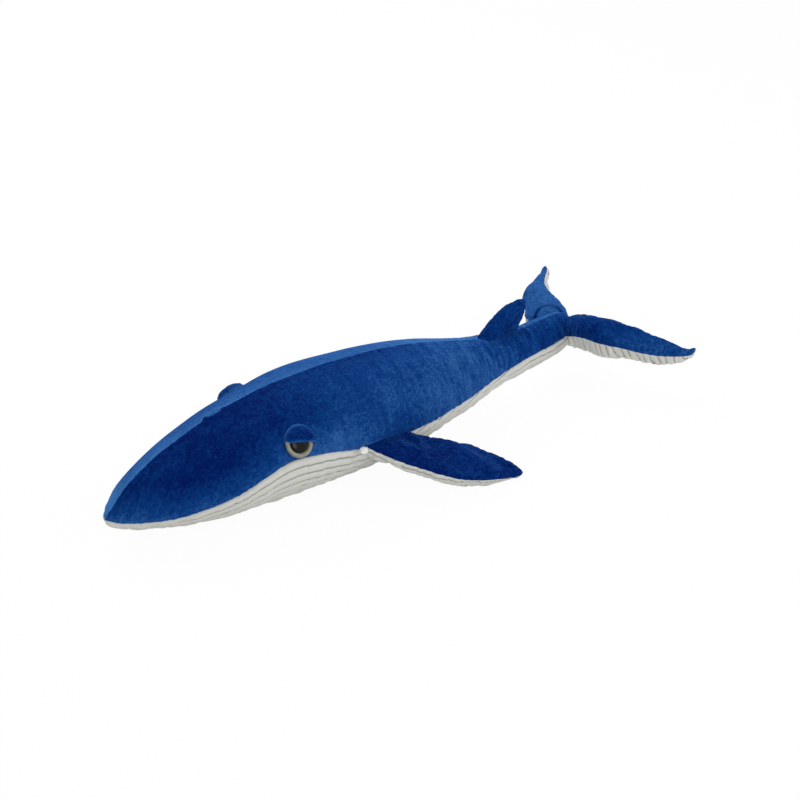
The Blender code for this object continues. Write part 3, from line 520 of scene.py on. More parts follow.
# The share of a rib's height that lies inside the smooth shape, and the share that is greyed with
# painted shade
RIB_SUNK_SHARE, GROOVE_SHADE_SHARE = 0.8, 0.60
WHITE_FIBRE_MM, WHITE_FIBRE_DEPTH = 2.6, 0.0015


def rib_rise(distance):
    """How far the ribs stand up, from 0 to 1, at a distance across them."""
    share = distance / RIB_PITCH
    return 1 - np.abs(2 * (share - np.floor(share)) - 1) ** RIB_ROUNDNESS


def ribbed_plush(name, colour=WHITE_PILE):
    """Ribbed plush. Each point of its cloth says how far its rib stands up there."""
    material = new_material(name)
    place = add(material, "TexCoord").outputs["Object"]
    rise = add(material, "Attribute", attribute_name="rib").outputs["Fac"]
    fibres = {"Vector": place, "Scale": 1000 / WHITE_FIBRE_MM, "Detail": 4.0, "Roughness": 0.75}
    fibres = add(material, "TexNoise", fibres).outputs["Fac"]
    # The grooves are greyed with painted shade
    ramp = add(material, "ValToRGB", {"Fac": rise})
    groove, rib = ramp.color_ramp.elements
    groove.color = linear(GROOVE_PAINTED_SHADE)
    rib.position, rib.color = GROOVE_SHADE_SHARE, linear(colour)
    pile = {"Height": fibres, "Strength": 0.5, "Distance": WHITE_FIBRE_DEPTH}
    pile = add(material, "Bump", pile).outputs[0]
    surface = {
        "Base Color": ramp.outputs["Color"],
        "Roughness": 0.95,
        "Specular IOR Level": 0.1,
        "Sheen Weight": 0.2,
        "Sheen Roughness": 0.5,
        "Normal": pile,
    }
    surface = add(material, "BsdfPrincipled", surface).outputs[0]
    add(material, "OutputMaterial", {"Surface": surface})
    return material


white_plush = ribbed_plush("white wide-rib plush")

# Belly: one white ribbed panel from under the nose to the tail, its ribs running lengthwise and
# cut off at the seams. It carries the whale's weight and lies flat on the floor.
BELLY_ROWS, BELLY_MIDDLE_Z = 280, 0.06
SCALLOP_HEIGHT, SCALLOP_WAVES = 0.0013, (0.030, 0.12, 0.12)
# Tucks across the ribs, which fade out behind the flippers. They lie where noise crosses zero.
TUCK_DEPTH, TUCK_WAVES, TUCK_WIDTH_SHARE = 0.0012, (0.045, 0.10, 0.10), 0.10
TUCKS_ALONG = ((-0.1, 0.0), (1.0, 0.0))
# How far the ribs bend to follow the seam: wholly under the chin, and less towards the tail
RIBS_BEND = ((-0.50, -0.20, -0.05, 0.10), (1.00, 0.92, 0.60, 0.20))
belly_sections = SECTIONS[:: BODY_ROWS // BELLY_ROWS]
half_lines = [line[::-1] for line, sewn in belly_sections]
half_girths = np.array([run_along(line)[-1] - sewn for line, sewn in belly_sections])
full_girth = half_girths.max()
bend = np.interp([line[0][0] for line in half_lines], *RIBS_BEND)
drawn_in = bend * (full_girth - half_girths)
rib_step = RIB_PITCH / RIB_STEPS
across_ribs = full_girth - rib_step * np.arange(math.ceil(full_girth / rib_step), -1, -1)
from_middle = np.clip(across_ribs[None, :] - drawn_in[:, None], 0, half_girths[:, None])
half_belly = np.array([points_at(line, at) for line, at in zip(half_lines, from_middle)])
out = outward(half_belly, half_belly[:, :1] * [1, 0, 0] + [0, 0, BELLY_MIDDLE_Z])
from_seam = half_girths[:, None] - from_middle
rise = rib_rise(from_middle + drawn_in[:, None] - full_girth)
halves = {}
for hand, side in SIDES.items():
    seed = BODY_SEEDS[hand]
    move = RIB_HEIGHT * (rise - RIB_SUNK_SHARE) + stuffed_relief(half_belly, from_seam, seed)
    move += SCALLOP_HEIGHT * ripples(half_belly, SCALLOP_WAVES, seed + 51)
    tucks = bell(ripples(half_belly, TUCK_WAVES, seed + 63), 0, TUCK_WIDTH_SHARE)
    move -= TUCK_DEPTH * tucks * np.interp(half_belly[:, :, 0], *TUCKS_ALONG)
    move *= np.clip(half_girths[:, None] / FULL_RELIEF_WIDTH, 0, 1)
    grid = (half_belly + out * move[:, :, None]) * [1, -side, 1]
    seam_line = SEAM_LINES[hand][:: BODY_ROWS // BELLY_ROWS, None]
    grid = np.where(from_seam[:, :, None] > 0, grid, seam_line)
    grid[:, :, 2] = np.maximum(grid[:, :, 2], 0)
    halves[hand] = grid
halves["left"][:, 0, 1] = halves["right"][:, 0, 1] = 0
halves["right"][:, 0] = halves["left"][:, 0]
grid = np.concatenate([halves["left"][:, ::-1], halves["right"][:, 1:]], axis=1)
rise = np.concatenate([rise[:, ::-1], rise[:, 1:]], axis=1)
belly = cloth_piece("belly_cloth", grid, {"rib": rise}, white_plush, (0, 0, -1))
across_tail_bend(belly)
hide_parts("belly_panel", "tail_belly", "body_stuffing", "tail_stuffing")

# Eyes: a cream moulded cup with a raised rim, and a dark domed pupil pressed into it. A shank
# goes through the back cloth, and a washer pressed onto it from inside holds the eye.
EYE_ALONG_SHARE, EYE_ABOVE_SEAM = 0.3095, 0.0225
EYE_R, EYE_DOME, EYE_RIM = 0.021, 0.0056, 0.0030
ROLL_R, ROLL_HEIGHT, ROLL_OVERHANG = 0.0032, 0.0030, 0.0006
PUPIL_R, PUPIL_EDGE, PUPIL_DOME = 0.0134, 0.0040, 0.0040
PUPIL_SEAT_DEPTH, PUPIL_CHAMFER, PUPIL_GAP = 0.0025, 0.0005, 0.0003
SHANK_R, SHANK_LENGTH, CUP_OFF_CLOTH = 0.0030, 0.0150, 0.0003
EYE_CREAM, PUPIL_BROWN, WASHER_WHITE = "#8F8D7E", "#0C0806", "#D9D9D4"
EYE_CREAM_DEEP, PUPIL_DEEP, WASHER_DEEP = "#807E70", "#030201", "#C9C9C2"
# Moulded plastic flows in faint clouds, and its mould leaves a grain that breaks up the shine
CLOUD_MM, PUPIL_CLOUD_MM, CLOUD_AT, CLEAR_AT = 16.7, 11.1, 0.35, 0.65
MOULD_GRAIN_MM, MOULD_GRAIN_DEPTH = 0.9, 0.0002
TURNED_STEPS, ROLL_POINTS, PUPIL_POINTS, PUPIL_DOME_SHARE = 72, 17, 14, 0.995
# How far apart the points are that tell which way the skin faces: in rows, and down the section
NEAR_ROWS, NEAR = 0.03, 0.002
SHARE_STEPS = 4000


def place_at(share):
    """The place, counted in rows of the body, at a share of its length."""
    places = np.linspace(0, len(BODY_SHARES) - 1, SHARE_STEPS)
    return np.interp(share, smooth_rows(BODY_SHARES, places)[:, 0], places)


def skin_above_seam(share, above_seam):
    """A point on the left of the body's skin with the skin's outward direction there."""
    rows = []
    for place in place_at(share) + np.array([-NEAR_ROWS, 0, NEAR_ROWS]):
        line, sewn = half_section(place)
        at = sewn - above_seam
        rows.append(points_at(line, [at - NEAR, at, at + NEAR]))
    out = np.cross(rows[2][1] - rows[0][1], rows[1][2] - rows[1][0])
    out *= np.sign(out @ [0, -1, 0.2]) / np.linalg.norm(out)
    return Vector(rows[1][1]), Vector(out)


spot, out = skin_above_seam(EYE_ALONG_SHARE, EYE_ABOVE_SEAM)
upward = (Vector((0, 0, 1)) - out * out.z).normalized()
EYE_FRAME = Matrix.Translation(spot) @ (
    Matrix((upward.cross(out), upward, out)).transposed().to_4x4()
)
MIRROR = {"left": Matrix.Identity(4), "right": Matrix.Scale(-1, 4, (0, 1, 0))}


def eye_height(radius):
    """Height of the eye's domed face over the cloth, at a radius."""
    return EYE_RIM + EYE_DOME * (1 - min(radius / EYE_R, 1) ** 2)


def moulded(name, colour, deep, roughness, cloud_mm=CLOUD_MM, shine=0.5):
    """Injection-moulded plastic of a colour that is deeper in its clouds."""
    material = new_material(name)
    place = add(material, "TexCoord").outputs["Object"]
    clouds = {"Vector": place, "Scale": 1000 / cloud_mm, "Detail": 3.0}
    clouds = add(material, "TexNoise", clouds).outputs["Fac"]
    ramp = add(material, "ValToRGB", {"Fac": clouds})
    cloud, clear = ramp.color_ramp.elements
    cloud.position, cloud.color = CLOUD_AT, linear(deep)
    clear.position, clear.color = CLEAR_AT, linear(colour)
    grain = {"Vector": place, "Scale": 1000 / MOULD_GRAIN_MM, "Detail": 2.0}
    grain = add(material, "TexNoise", grain).outputs["Fac"]
    bump = {"Height": grain, "Strength": 0.15, "Distance": MOULD_GRAIN_DEPTH}
    bump = add(material, "Bump", bump).outputs[0]
    surface = {
        "Base Color": ramp.outputs["Color"],
        "Roughness": roughness,
        "Specular IOR Level": shine,
        "IOR": 1.49,
        "Normal": bump,
    }
    surface = add(material, "BsdfPrincipled", surface).outputs[0]
    add(material, "OutputMaterial", {"Surface": surface})
    return material


def turned(name, profile, hand, material):
    """A turned piece, from its profile of radius and height, in an eye's place."""
    bm = bmesh.new()
    line = [bm.verts.new((radius, 0, height)) for radius, height in profile]
    edges = [bm.edges.new(pair) for pair in zip(line, line[1:])]
    turn = {"cent": (0, 0, 0), "axis": (0, 0, 1), "angle": math.tau, "steps": TURNED_STEPS}
    bmesh.ops.spin(bm, geom=line + edges, use_merge=True, **turn)
    bmesh.ops.remove_doubles(bm, verts=bm.verts, dist=MERGED_WITHIN)
    bmesh.ops.transform(bm, matrix=MIRROR[hand] @ EYE_FRAME, verts=bm.verts)
    bmesh.ops.recalc_face_normals(bm, faces=bm.faces)
    piece = made_of(name, bm, material)
    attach(piece, "body")
    return piece


cream_plastic = moulded("satin cream moulded plastic", EYE_CREAM, EYE_CREAM_DEEP, 0.38)
pupil_plastic = moulded(
    "glossy dark brown plastic", PUPIL_BROWN, PUPIL_DEEP, 0.12, PUPIL_CLOUD_MM, shine=0.20
)
washer_plastic = moulded("plain white washer plastic", WASHER_WHITE, WASHER_DEEP, 0.45)
seat = PUPIL_EDGE - PUPIL_SEAT_DEPTH
roll = [
    (EYE_R - ROLL_R * (1 - math.cos(a)), ROLL_HEIGHT + ROLL_R * math.sin(a))
    for a in np.linspace(math.pi, 0, ROLL_POINTS)
]
cup_profile = [
    (0, seat),
    (PUPIL_R + PUPIL_GAP, seat),
    (PUPIL_R + PUPIL_GAP, ROLL_HEIGHT - ROLL_OVERHANG),
    *roll,
    (EYE_R, CUP_OFF_CLOTH),
    (SHANK_R, CUP_OFF_CLOTH),
    (SHANK_R, -SHANK_LENGTH),
    (0, -SHANK_LENGTH),
]
pupil_profile = [
    (PUPIL_R * share, PUPIL_EDGE + PUPIL_DOME * math.sqrt(1 - share**2))
    for share in np.linspace(0, PUPIL_DOME_SHARE, PUPIL_POINTS)
]
pupil_profile += [
    (PUPIL_R, PUPIL_EDGE - PUPIL_CHAMFER),
    (PUPIL_R, seat + PUPIL_GAP),
    (0, seat + PUPIL_GAP),
]
for hand in SIDES:
    cup = turned(f"eye_ring_{hand}", cup_profile, hand, cream_plastic)
    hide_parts(f"eye_cup_{hand}")
    pupil = turned(f"eye_dark_{hand}", pupil_profile, hand, pupil_plastic)
    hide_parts(f"pupil_{hand}")
    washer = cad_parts[f"eye_washer_{hand}"]
    washer.data.materials.clear()
    washer.data.materials.append(washer_plastic)

# Eyelids: a half-disc of the blue cloth over a little stuffing, its straight edge turned under
# and laid over the eye, and its round edge sewn down to the head with a rolled rim.
LID_R, LID_TALL, LID_RISE, LID_EDGE = 0.0259, 1.09, 0.0045, 0.0004
LID_LIP_R, LID_SINK = 0.0022, 0.0065
LID_CROWN_POWER, LIP_FADE_POWER = 3.4, 6
LID_COLUMNS, LIP_ROWS, LID_ROWS, LID_ROW_STEP = 72, 10, 44, 0.0008
# The rolled rim and the groove inside it, at the round edge and then at the straight one: how
# high each stands, how far in it lies and how wide it is. They end near the lid's corners.
ROUND_ROLLS = ((0.0014, 0.0030, 0.0012), (-0.0012, 0.0060, 0.0014))
STRAIGHT_ROLLS = ((0.0008, LID_LIP_R, 0.0014), (-0.0010, 0.0062, 0.0014))
ROLLS_END_SHARE = 1.2
LID_LUMP_HEIGHT, LID_LUMP_WAVE, LID_SEEDS = 0.0004, 0.016, {"left": 5.5, "right": 71.5}
# A painted highlight makes the rims pale
LID_LAID, RIM_PAINTED_HIGHLIGHT, RIM_HIGHLIGHT_REACH = 0.20, 0.75, 0.0022
# The right one was sewn a little lower and less aslant
LID_TILT = {"left": math.radians(13), "right": math.radians(-8)}
LID_DROP = {"left": 0.0, "right": 0.002}
LID_BACK = {"left": 0.0032, "right": -0.0012}
lid_across = np.sin(np.linspace(-1, 1, LID_COLUMNS + 1) * math.pi / 2)
lid_crown = eye_height(0) + LID_RISE + LID_SINK
lid_rows, lid_rim_highlights = [], []
for row in range(LIP_ROWS + LID_ROWS + 1):
    if row < LIP_ROWS:
        turn = -math.pi / 2 + math.pi * row / LIP_ROWS
        up, lift = LID_LIP_R * (1 - math.cos(turn)), LID_LIP_R * (math.sin(turn) - 1)
    else:
        share = (row - LIP_ROWS) / LID_ROWS
        up, lift = LID_LIP_R + (LID_R - LID_LIP_R) * math.sin(share * math.pi / 2), 0
    across = lid_across * math.sqrt(max(LID_R**2 - up**2, 0))
    round_share = np.minimum(np.hypot(across, up) / LID_R, 1)
    from_round = (1 - round_share) * LID_R
    height = lid_crown * np.sqrt(np.maximum(1 - round_share**LID_CROWN_POWER, 0)) - LID_SINK
    rolled = sum(rise * bell(from_round, inside, width) for rise, inside, width in ROUND_ROLLS)
    rolled += sum(rise * bell(up, inside, width) for rise, inside, width in STRAIGHT_ROLLS)
    height += rolled * np.clip(ROLLS_END_SHARE - round_share, 0, 1)
    height += lift * (1 - round_share**LIP_FADE_POWER)
    tall = np.full_like(across, LID_TALL * up + LID_EDGE)
    lid_rows.append(np.stack([across, tall, height], axis=1))
    # Painted highlight along the rims
    lid_rim_highlights.append(np.exp(-np.minimum(up, from_round) / RIM_HIGHLIGHT_REACH))
for hand, side in SIDES.items():
    tilt = np.array(Matrix.Rotation(-LID_TILT[hand], 3, "Z"))
    lid_grid = np.array(lid_rows) @ tilt.T + [LID_BACK[hand], 0, 0]
    lid_grid = lid_grid @ np.array(EYE_FRAME.to_3x3()).T + np.array(EYE_FRAME.translation)
    out = outward(lid_grid, np.array(spot)[None, None])
    lumps = LID_LUMP_HEIGHT * ripples(lid_grid, (LID_LUMP_WAVE,) * 3, LID_SEEDS[hand])
    grid = (lid_grid + out * lumps[:, :, None]) * [1, -side, 1]
    grid[:, :, 2] -= LID_DROP[hand]
    steps = np.arange(len(grid))[:, None] * LID_ROW_STEP
    lid_values = {
        "along": from_edge(lid_grid),
        "around": np.repeat(steps, LID_COLUMNS + 1, axis=1),
        "laid_and_painted_light": LID_LAID + RIM_PAINTED_HIGHLIGHT * np.array(lid_rim_highlights),
    }
    lid = cloth_piece(f"eyelid_cloth_{hand}", grid, lid_values, blue_velboa, (0, side, 0))
    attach(lid, "body")
    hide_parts(f"eyelid_{hand}")

# Flippers: each is cut from blue cloth above and white ribbed cloth below, sewn round its edge,
# turned, stuffed flat and sewn into the belly seam. They droop to the floor behind the eye.
FLIPPER_ROOT_SHARES, FLIPPER_DROP = (0.430, 0.493, 0.556), 0.0003
FLIPPER_LENGTH, FLIPPER_THICKNESS, FLIPPER_DROOP = 0.212, 0.032, math.radians(15)
# How far out and back its front and rear edges are, then its thickness, all shares
FLIPPER_SHARES = (
    (0.020, 0.015, 0.012, 0.462, 0.88),
    (0.106, 0.063, 0.060, 0.508, 0.95),
    (0.212, 0.135, 0.135, 0.582, 1.00),
    (0.331, 0.240, 0.220, 0.692, 1.00),
    (0.444, 0.340, 0.325, 0.800, 0.94),
    (0.543, 0.447, 0.440, 0.879, 0.84),
    (0.616, 0.593, 0.545, 0.940, 0.70),
    (0.664, 0.742, 0.622, 0.975, 0.52),
    (0.698, 0.868, 0.675, 0.977, 0.30),
    (0.700, 0.931, 0.697, 0.945, 0.03),
)
# Two more rows run into the body: how far in, the rear edge's share and the thickness
FLIPPER_INSIDE = ((0.0010, 0.458, 0.80), (0.0075, 0.455, 0.62))
# How far its root is drawn up in front and down behind, row by row from the inmost one
FLIPPER_SET = ((0.0016, 0.0012),) * 4 + ((0.0010, 0.0012), (0.0, 0.0006))
# How far its top stands up and its underside hangs down, row by row, as shares of the thickness
FLIPPER_TOP_SHARE = 0.36
FLIPPER_UNDER_SHARES = (0.74, 0.74, 0.73, 0.66, 0.57, 0.59, 0.67, 0.82, 0.93, 0.96, 0.96, 0.96)
FLIPPER_FLEX, FLIPPER_LAID, FLIPPER_FIRST_RIB_SHARE = (-0.004, 0.034), 0.12, 0.4
FLIPPER_SEEDS = {"left": 11.3, "right": 53.1}
# For all limbs: how full a face is, how far forward the underside hangs, and its relief
LIMB_ROWS, LIMB_COLUMNS = 240, 72
LIMB_POWER, UNDER_POWER, UNDER_FORE = 0.78, 0.72, 1.35
EDGE_WAVE, EDGE_WAVE_LENGTH, EDGE_WAVE_WIDTH = 0.0016, 0.0065, 0.04
LIMB_LUMP_HEIGHT, LIMB_LUMP_WAVE = 0.0010, 0.075
LIMB_PUCKER_HEIGHT, LIMB_PUCKER_WAVE, LIMB_PUCKER_REACH = 0.0007, 0.012, 0.010
LIMB_RIB_HEIGHT, LIMB_RIB_EDGE, LIMB_MIDDLE = 0.0034, 0.004, 0.02
LIMB_BRUSHED = 0.25
# The simulated cloth: how full it is cut, as a share, for flippers, then the fin and the flukes'
# undersides, then their tops, the light pressure on it and how far it may move
SETTLE_SLACK, HALF_SLACK, FLUKE_TOP_SLACK = 0.035, 0.0175, 0.014
SETTLE_PRESSURE, SETTLE_CAP = 1.0, 0.0040
SETTLE_GRID, SETTLE_FRAMES = (64, 30), 20


def sewn_point(share, drop):
    """The point on the left of the body a little below its belly seam, at a share of its length."""
    line, sewn = half_section(place_at(share))
    height = points_at(line, [sewn])[0][2] - drop
    return Vector((line[0][0], np.interp(-height, -line[:, 2], line[:, 1]), height))


def limb_grid(rows, up, swell, power=LIMB_POWER, fore=1.0, wave=EDGE_WAVE):
    """One face of a limb from rows of front and rear edge and thickness, root to tip.

    With fore over 1 its thickest part is nearer the front edge. The edges wave a little.
    """
    up = np.array(up)
    rows = smooth_rows(rows, even_places(rows, (1, 1, 1), LIMB_ROWS + 1))
    grid = []
    for row in rows:
        chord = row[3:6] - row[:3]
        width = max(np.linalg.norm(chord), 1e-6)
        sway = wave * min(width / EDGE_WAVE_WIDTH, 1) / width
        front_wave = sway * noise.noise(row[:3] / EDGE_WAVE_LENGTH)
        rear_wave = sway * noise.noise(row[3:6] / EDGE_WAVE_LENGTH)
        row[:3], row[3:6] = row[:3] + chord * front_wave, row[3:6] + chord * rear_wave
        chord = row[3:6] - row[:3]
        rise = up - chord * (up @ chord) / max(chord @ chord, 1e-9)
        rise /= np.linalg.norm(rise)
        turns = np.linspace(0, math.pi, LIMB_COLUMNS + 1)
        along = ((1 - np.cos(turns)) / 2) ** fore
        height = swell * row[6] * np.sin(turns) ** power
        grid.append(row[:3] + chord * along[:, None] + rise * height[:, None])
    return np.array(grid)


def settled(grid, out, slack):
    """The grid after a cloth simulation: cut full, held at its edges and lightly pressed.

    A face that looks down has its winding turned. As they are wound, the flippers' and flukes'
    faces are pressed from outside and the fin's from inside.
    """
    picked = [
        np.linspace(0, n - 1, count).round().astype(int)
        for n, count in zip(grid.shape, SETTLE_GRID)
    ]
    coarse = grid[np.ix_(*picked)]
    bm, places = grid_mesh(coarse)
    held = bm.verts.layers.deform.verify()
    for v, (row, column) in zip(bm.verts, places):
        at_edge = row in (0, len(coarse) - 1) or column in (0, len(coarse[0]) - 1)
        v[held][0] = float(at_edge)
    if out[2] < 0:
        bmesh.ops.reverse_faces(bm, faces=bm.faces)
    cloth = made_of("settling cloth", bm, blue_velboa)
    cloth.vertex_groups.new(name="sewn")
    settle = cloth.modifiers.new("settle", "CLOTH")
    settle.settings.vertex_group_mass = "sewn"
    settle.settings.quality = 6
    settle.settings.mass = 0.10
    settle.settings.bending_stiffness = 0.02
    settle.settings.shrink_min = -slack
    settle.settings.use_pressure = True
    settle.settings.uniform_pressure_force = SETTLE_PRESSURE
    settle.settings.effector_weights.gravity = 0
    settle.collision_settings.use_collision = False
    settle.point_cache.frame_start, settle.point_cache.frame_end = 1, SETTLE_FRAMES
    for number in range(1, SETTLE_FRAMES + 1):
        bpy.context.scene.frame_set(number)
    done = cloth.evaluated_get(bpy.context.evaluated_depsgraph_get())
    moved = np.zeros_like(coarse)
    for (row, column), v in zip(places, done.data.vertices):
        moved[row, column] = np.array(v.co) - coarse[row, column]
    bpy.context.scene.frame_set(1)
    bpy.data.objects.remove(cloth)
    length = np.linalg.norm(moved, axis=2, keepdims=True)
    moved *= np.minimum(1, SETTLE_CAP / np.maximum(length, 1e-9))
    fine = [np.interp(np.arange(n), at, np.arange(len(at))) for n, at in zip(grid.shape, picked)]
    by_row = smooth_rows(moved.reshape(len(moved), -1), fine[0]).reshape(-1, *moved.shape[1:])
    by_column = smooth_rows(
        by_row.transpose(1, 0, 2).reshape(moved.shape[1], -1), fine[1]
    ).reshape(-1, len(grid), 3)
    return grid + by_column.transpose(1, 0, 2)


def limb_cloth(name, grid, out, side, seed, bodies, flex, names, ribs=None, laid_and_painted_light=0.2):
    """Makes one face of a limb.

    The grid is the left limb's, and out the way that its face looks. With ribs, the distances
    across them, it is of the white cloth.
    """
    front, rear = from_edge(grid), from_edge(grid, last=True)
    edge = np.minimum(front, rear)
    run = np.repeat(run_along(grid[:, len(grid[0]) // 2])[:, None], grid.shape[1], axis=1)
    move = LIMB_LUMP_HEIGHT * ripples(grid, (LIMB_LUMP_WAVE,) * 3, seed)
    puckers = ripples(grid, (LIMB_PUCKER_WAVE,) * 3, seed + 4)
    move += LIMB_PUCKER_HEIGHT * np.exp(-edge / LIMB_PUCKER_REACH) * puckers
    if ribs is None:
        cloth, slot = blue_velboa, "blue_plush"
        values = {
            "along": run,
            "around": front,
            "laid_and_painted_light": run * 0 + laid_and_painted_light,
            "brushed": run * 0 + LIMB_BRUSHED,
        }
    else:
        cloth, slot = white_plush, "white_ribbed_plush"
        values = {"rib": rib_rise(ribs)}
        rib_height = LIMB_RIB_HEIGHT * np.clip(edge / LIMB_RIB_EDGE, 0, 1)
        move += rib_height * (values["rib"] - RIB_SUNK_SHARE)
    move *= np.clip(front[:, -1:] / FULL_RELIEF_WIDTH, 0, 1)
    move[:, 0] = move[:, -1] = 0
    inside = grid.mean(axis=1, keepdims=True) - np.array(out) * LIMB_MIDDLE
    moved = (grid + outward(grid, inside) * move[:, :, None]) * [1, -side, 1]
    piece = cloth_piece(name, moved, values, cloth, np.array(out) * [1, -side, 1])
    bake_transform(piece)
    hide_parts(*names)


def two_faced_limb(limb, carrier, top, under, up, side, seed, flex, laid_and_painted_light, ribs):
    """Makes a flipper or a fluke from its blue top and its white underside."""
    names = (f"{limb}_top",), (f"{limb}_underside", f"{limb}_stuffing")
    sewn_on = (carrier, limb), flex
    limb_cloth(f"{limb}_blue", top, up, side, seed, *sewn_on, names[0], laid_and_painted_light=laid_and_painted_light)
    limb_cloth(f"{limb}_white", under, -up, side, seed + 6, *sewn_on, names[1], ribs=ribs)


root_front, root_middle, root_rear = (
    sewn_point(share, FLIPPER_DROP) for share in FLIPPER_ROOT_SHARES
)
backward = (root_rear - root_front).normalized()
sideways = Vector((0, -1, 0))
sideways = (sideways - backward * sideways.dot(backward)).normalized()
flipper_out = Matrix.Rotation(FLIPPER_DROOP, 3, backward) @ sideways
flipper_up = flipper_out.cross(backward)


def flipper_at(out_share, back_share, inside=0.0):
    place = root_front + (flipper_out * out_share + backward * back_share) * FLIPPER_LENGTH
    return place - flipper_out * inside


flipper_rows = [
    (*flipper_at(a, b), *flipper_at(c, d), FLIPPER_THICKNESS * thick)
    for a, b, c, d, thick in FLIPPER_SHARES
]
for inside, back_share, thick in FLIPPER_INSIDE:
    root = *flipper_at(0, 0, inside), *flipper_at(0, back_share, inside)
    flipper_rows.insert(0, (*root, FLIPPER_THICKNESS * thick))
flipper_rows = np.array(flipper_rows)
for row, (lift, drop) in zip(flipper_rows, FLIPPER_SET):
    row[:3] += np.array(flipper_up) * lift
    row[3:6] -= np.array(flipper_up) * drop
hanging_rows = flipper_rows.copy()
hanging_rows[:, 6] *= FLIPPER_UNDER_SHARES
flipper_top = limb_grid(flipper_rows, flipper_up, FLIPPER_TOP_SHARE)
flipper_under = limb_grid(hanging_rows, flipper_up, -1.0, UNDER_POWER, UNDER_FORE)
flipper_top = settled(flipper_top, flipper_up, SETTLE_SLACK)
flipper_under = settled(flipper_under, -flipper_up, SETTLE_SLACK)
flipper_ribs = from_edge(flipper_under) + FLIPPER_FIRST_RIB_SHARE * RIB_PITCH
flipper_flex = [root_middle + flipper_out * reach for reach in FLIPPER_FLEX]
for hand, side in SIDES.items():
    two_faced_limb(
        f"flipper_{hand}", "body", flipper_top, flipper_under, flipper_up, side,
        FLIPPER_SEEDS[hand], flipper_flex, FLIPPER_LAID, flipper_ribs,
    )

# Gathers: at the front of each flipper's root the white cloth is drawn up into a small tuft
# where three seams meet. It is stitched to the body.
GATHER_R, GATHER_STEPS = 0.0060, (16, 28)
# The tuft's white is painted brighter than the belly's, a painted highlight
GATHER_PAINTED_HIGHLIGHT_WHITE = "#EDEDEA"
GATHER_STRETCH, GATHER_LUMP_SHARE, GATHER_LUMP_WAVE = (1.15, 1.0, 0.8), 0.28, 0.9
GATHER_SHARES, GATHER_LIFT, GATHER_SEED = (0.020, -0.050), 0.0035, 4.4
turn_up, turn_round = np.meshgrid(
    np.linspace(0, math.pi, GATHER_STEPS[0] + 1),
    np.linspace(0, math.tau, GATHER_STEPS[1] + 1),
    indexing="ij",
)
ball = np.sin(turn_up) * np.cos(turn_round), np.sin(turn_up) * np.sin(turn_round), np.cos(turn_up)
ball = np.stack(ball, axis=2)
brightened_tuft_plush = ribbed_plush("white plush drawn into a tuft", GATHER_PAINTED_HIGHLIGHT_WHITE)
lumps = 1 + GATHER_LUMP_SHARE * ripples(np.round(ball, 6), (GATHER_LUMP_WAVE,) * 3, GATHER_SEED)
ball *= lumps[:, :, None] * GATHER_R * np.array(GATHER_STRETCH)
ball += np.array(flipper_at(*GATHER_SHARES) + flipper_up * GATHER_LIFT)
for hand, side in SIDES.items():
    grid = ball * [1, -side, 1]
    gather = cloth_piece(f"flipper_gather_{hand}", grid, {"rib": lumps * 0 + 1}, brightened_tuft_plush)
    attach(gather, "body")

# Dorsal fin: two blue cloths sewn round their edge and stuffed thinly. It leans back from the
# ridge near the tail, and a fold runs up it behind its thickest part.
FIN_THICKNESS, FIN_EDGE_WAVE = 0.025, 0.0010
FIN_FLEX = Vector((0.232, 0, 0.112)), Vector((0.236, 0, 0.136))
FIN_SEEDS = {"left": 23.9, "right": 67.7}
# Its front edge and its rear edge, each along and up, then its share of the thickness
FIN_ROWS = (
    (0.1790, 0.1040, 0.2720, 0.0980, 0.80),
    (0.1940, 0.1180, 0.2770, 0.1125, 1.00),
    (0.2075, 0.1300, 0.2850, 0.1245, 1.00),
    (0.2195, 0.1400, 0.2885, 0.1345, 0.95),
    (0.2307, 0.1485, 0.2903, 0.1430, 0.88),
    (0.2425, 0.1548, 0.2905, 0.1500, 0.76),
    (0.2545, 0.1588, 0.2888, 0.1552, 0.60),
    (0.2660, 0.1606, 0.2850, 0.1578, 0.36),
    (0.2740, 0.1612, 0.2790, 0.1602, 0.03),
)
# The fold on the left, from its foot to its head. The cloth stands full in front of it and flat
# behind it, with a groove between. A painted shadow darkens the cloth just behind the fold, and a
# painted highlight lightens the fold's brow.
FOLD_FOOT, FOLD_HEAD = (0.232, 0.116), (0.281, 0.149)
FOLD_BOW, FOLD_WIDTH = 0.0045, 0.0007
FRONT_LOBE, REAR_LOBE = 1.15, 0.12
GROOVE_SHARE, GROOVE_BEHIND, GROOVE_WIDTH = 0.25, 0.002, 0.0016
FIN_LAID = 0.30
BROW_PAINTED_HIGHLIGHT, BROW_AHEAD, BROW_WIDTH = 0.60, 0.0015, 0.0013
FOLD_PAINTED_SHADOW, SHADE_BEHIND, SHADE_WIDTH = 0.75, 0.005, 0.0060
fin_rows = [
    (lead, 0, up, trail, 0, low, FIN_THICKNESS * thick) for lead, up, trail, low, thick in FIN_ROWS
]
fin_grid = limb_grid(fin_rows, (0, -1, 0), 0.5, wave=FIN_EDGE_WAVE)
fin_grid = settled(fin_grid, (0, -1, 0), HALF_SLACK)
slope = (FOLD_HEAD[0] - FOLD_FOOT[0]) / (FOLD_HEAD[1] - FOLD_FOOT[1])
behind_fold = fin_grid[:, :, 0] - FOLD_FOOT[0] - slope * (fin_grid[:, :, 2] - FOLD_FOOT[1])
behind_fold /= math.hypot(1, slope)
up_fold = np.clip((fin_grid[:, :, 2] - FOLD_FOOT[1]) / (FOLD_HEAD[1] - FOLD_FOOT[1]), 0, 1)
behind_fold += FOLD_BOW * np.sin(math.pi * up_fold)
lobe = FRONT_LOBE + (REAR_LOBE - FRONT_LOBE) / (1 + np.exp(-behind_fold / FOLD_WIDTH))
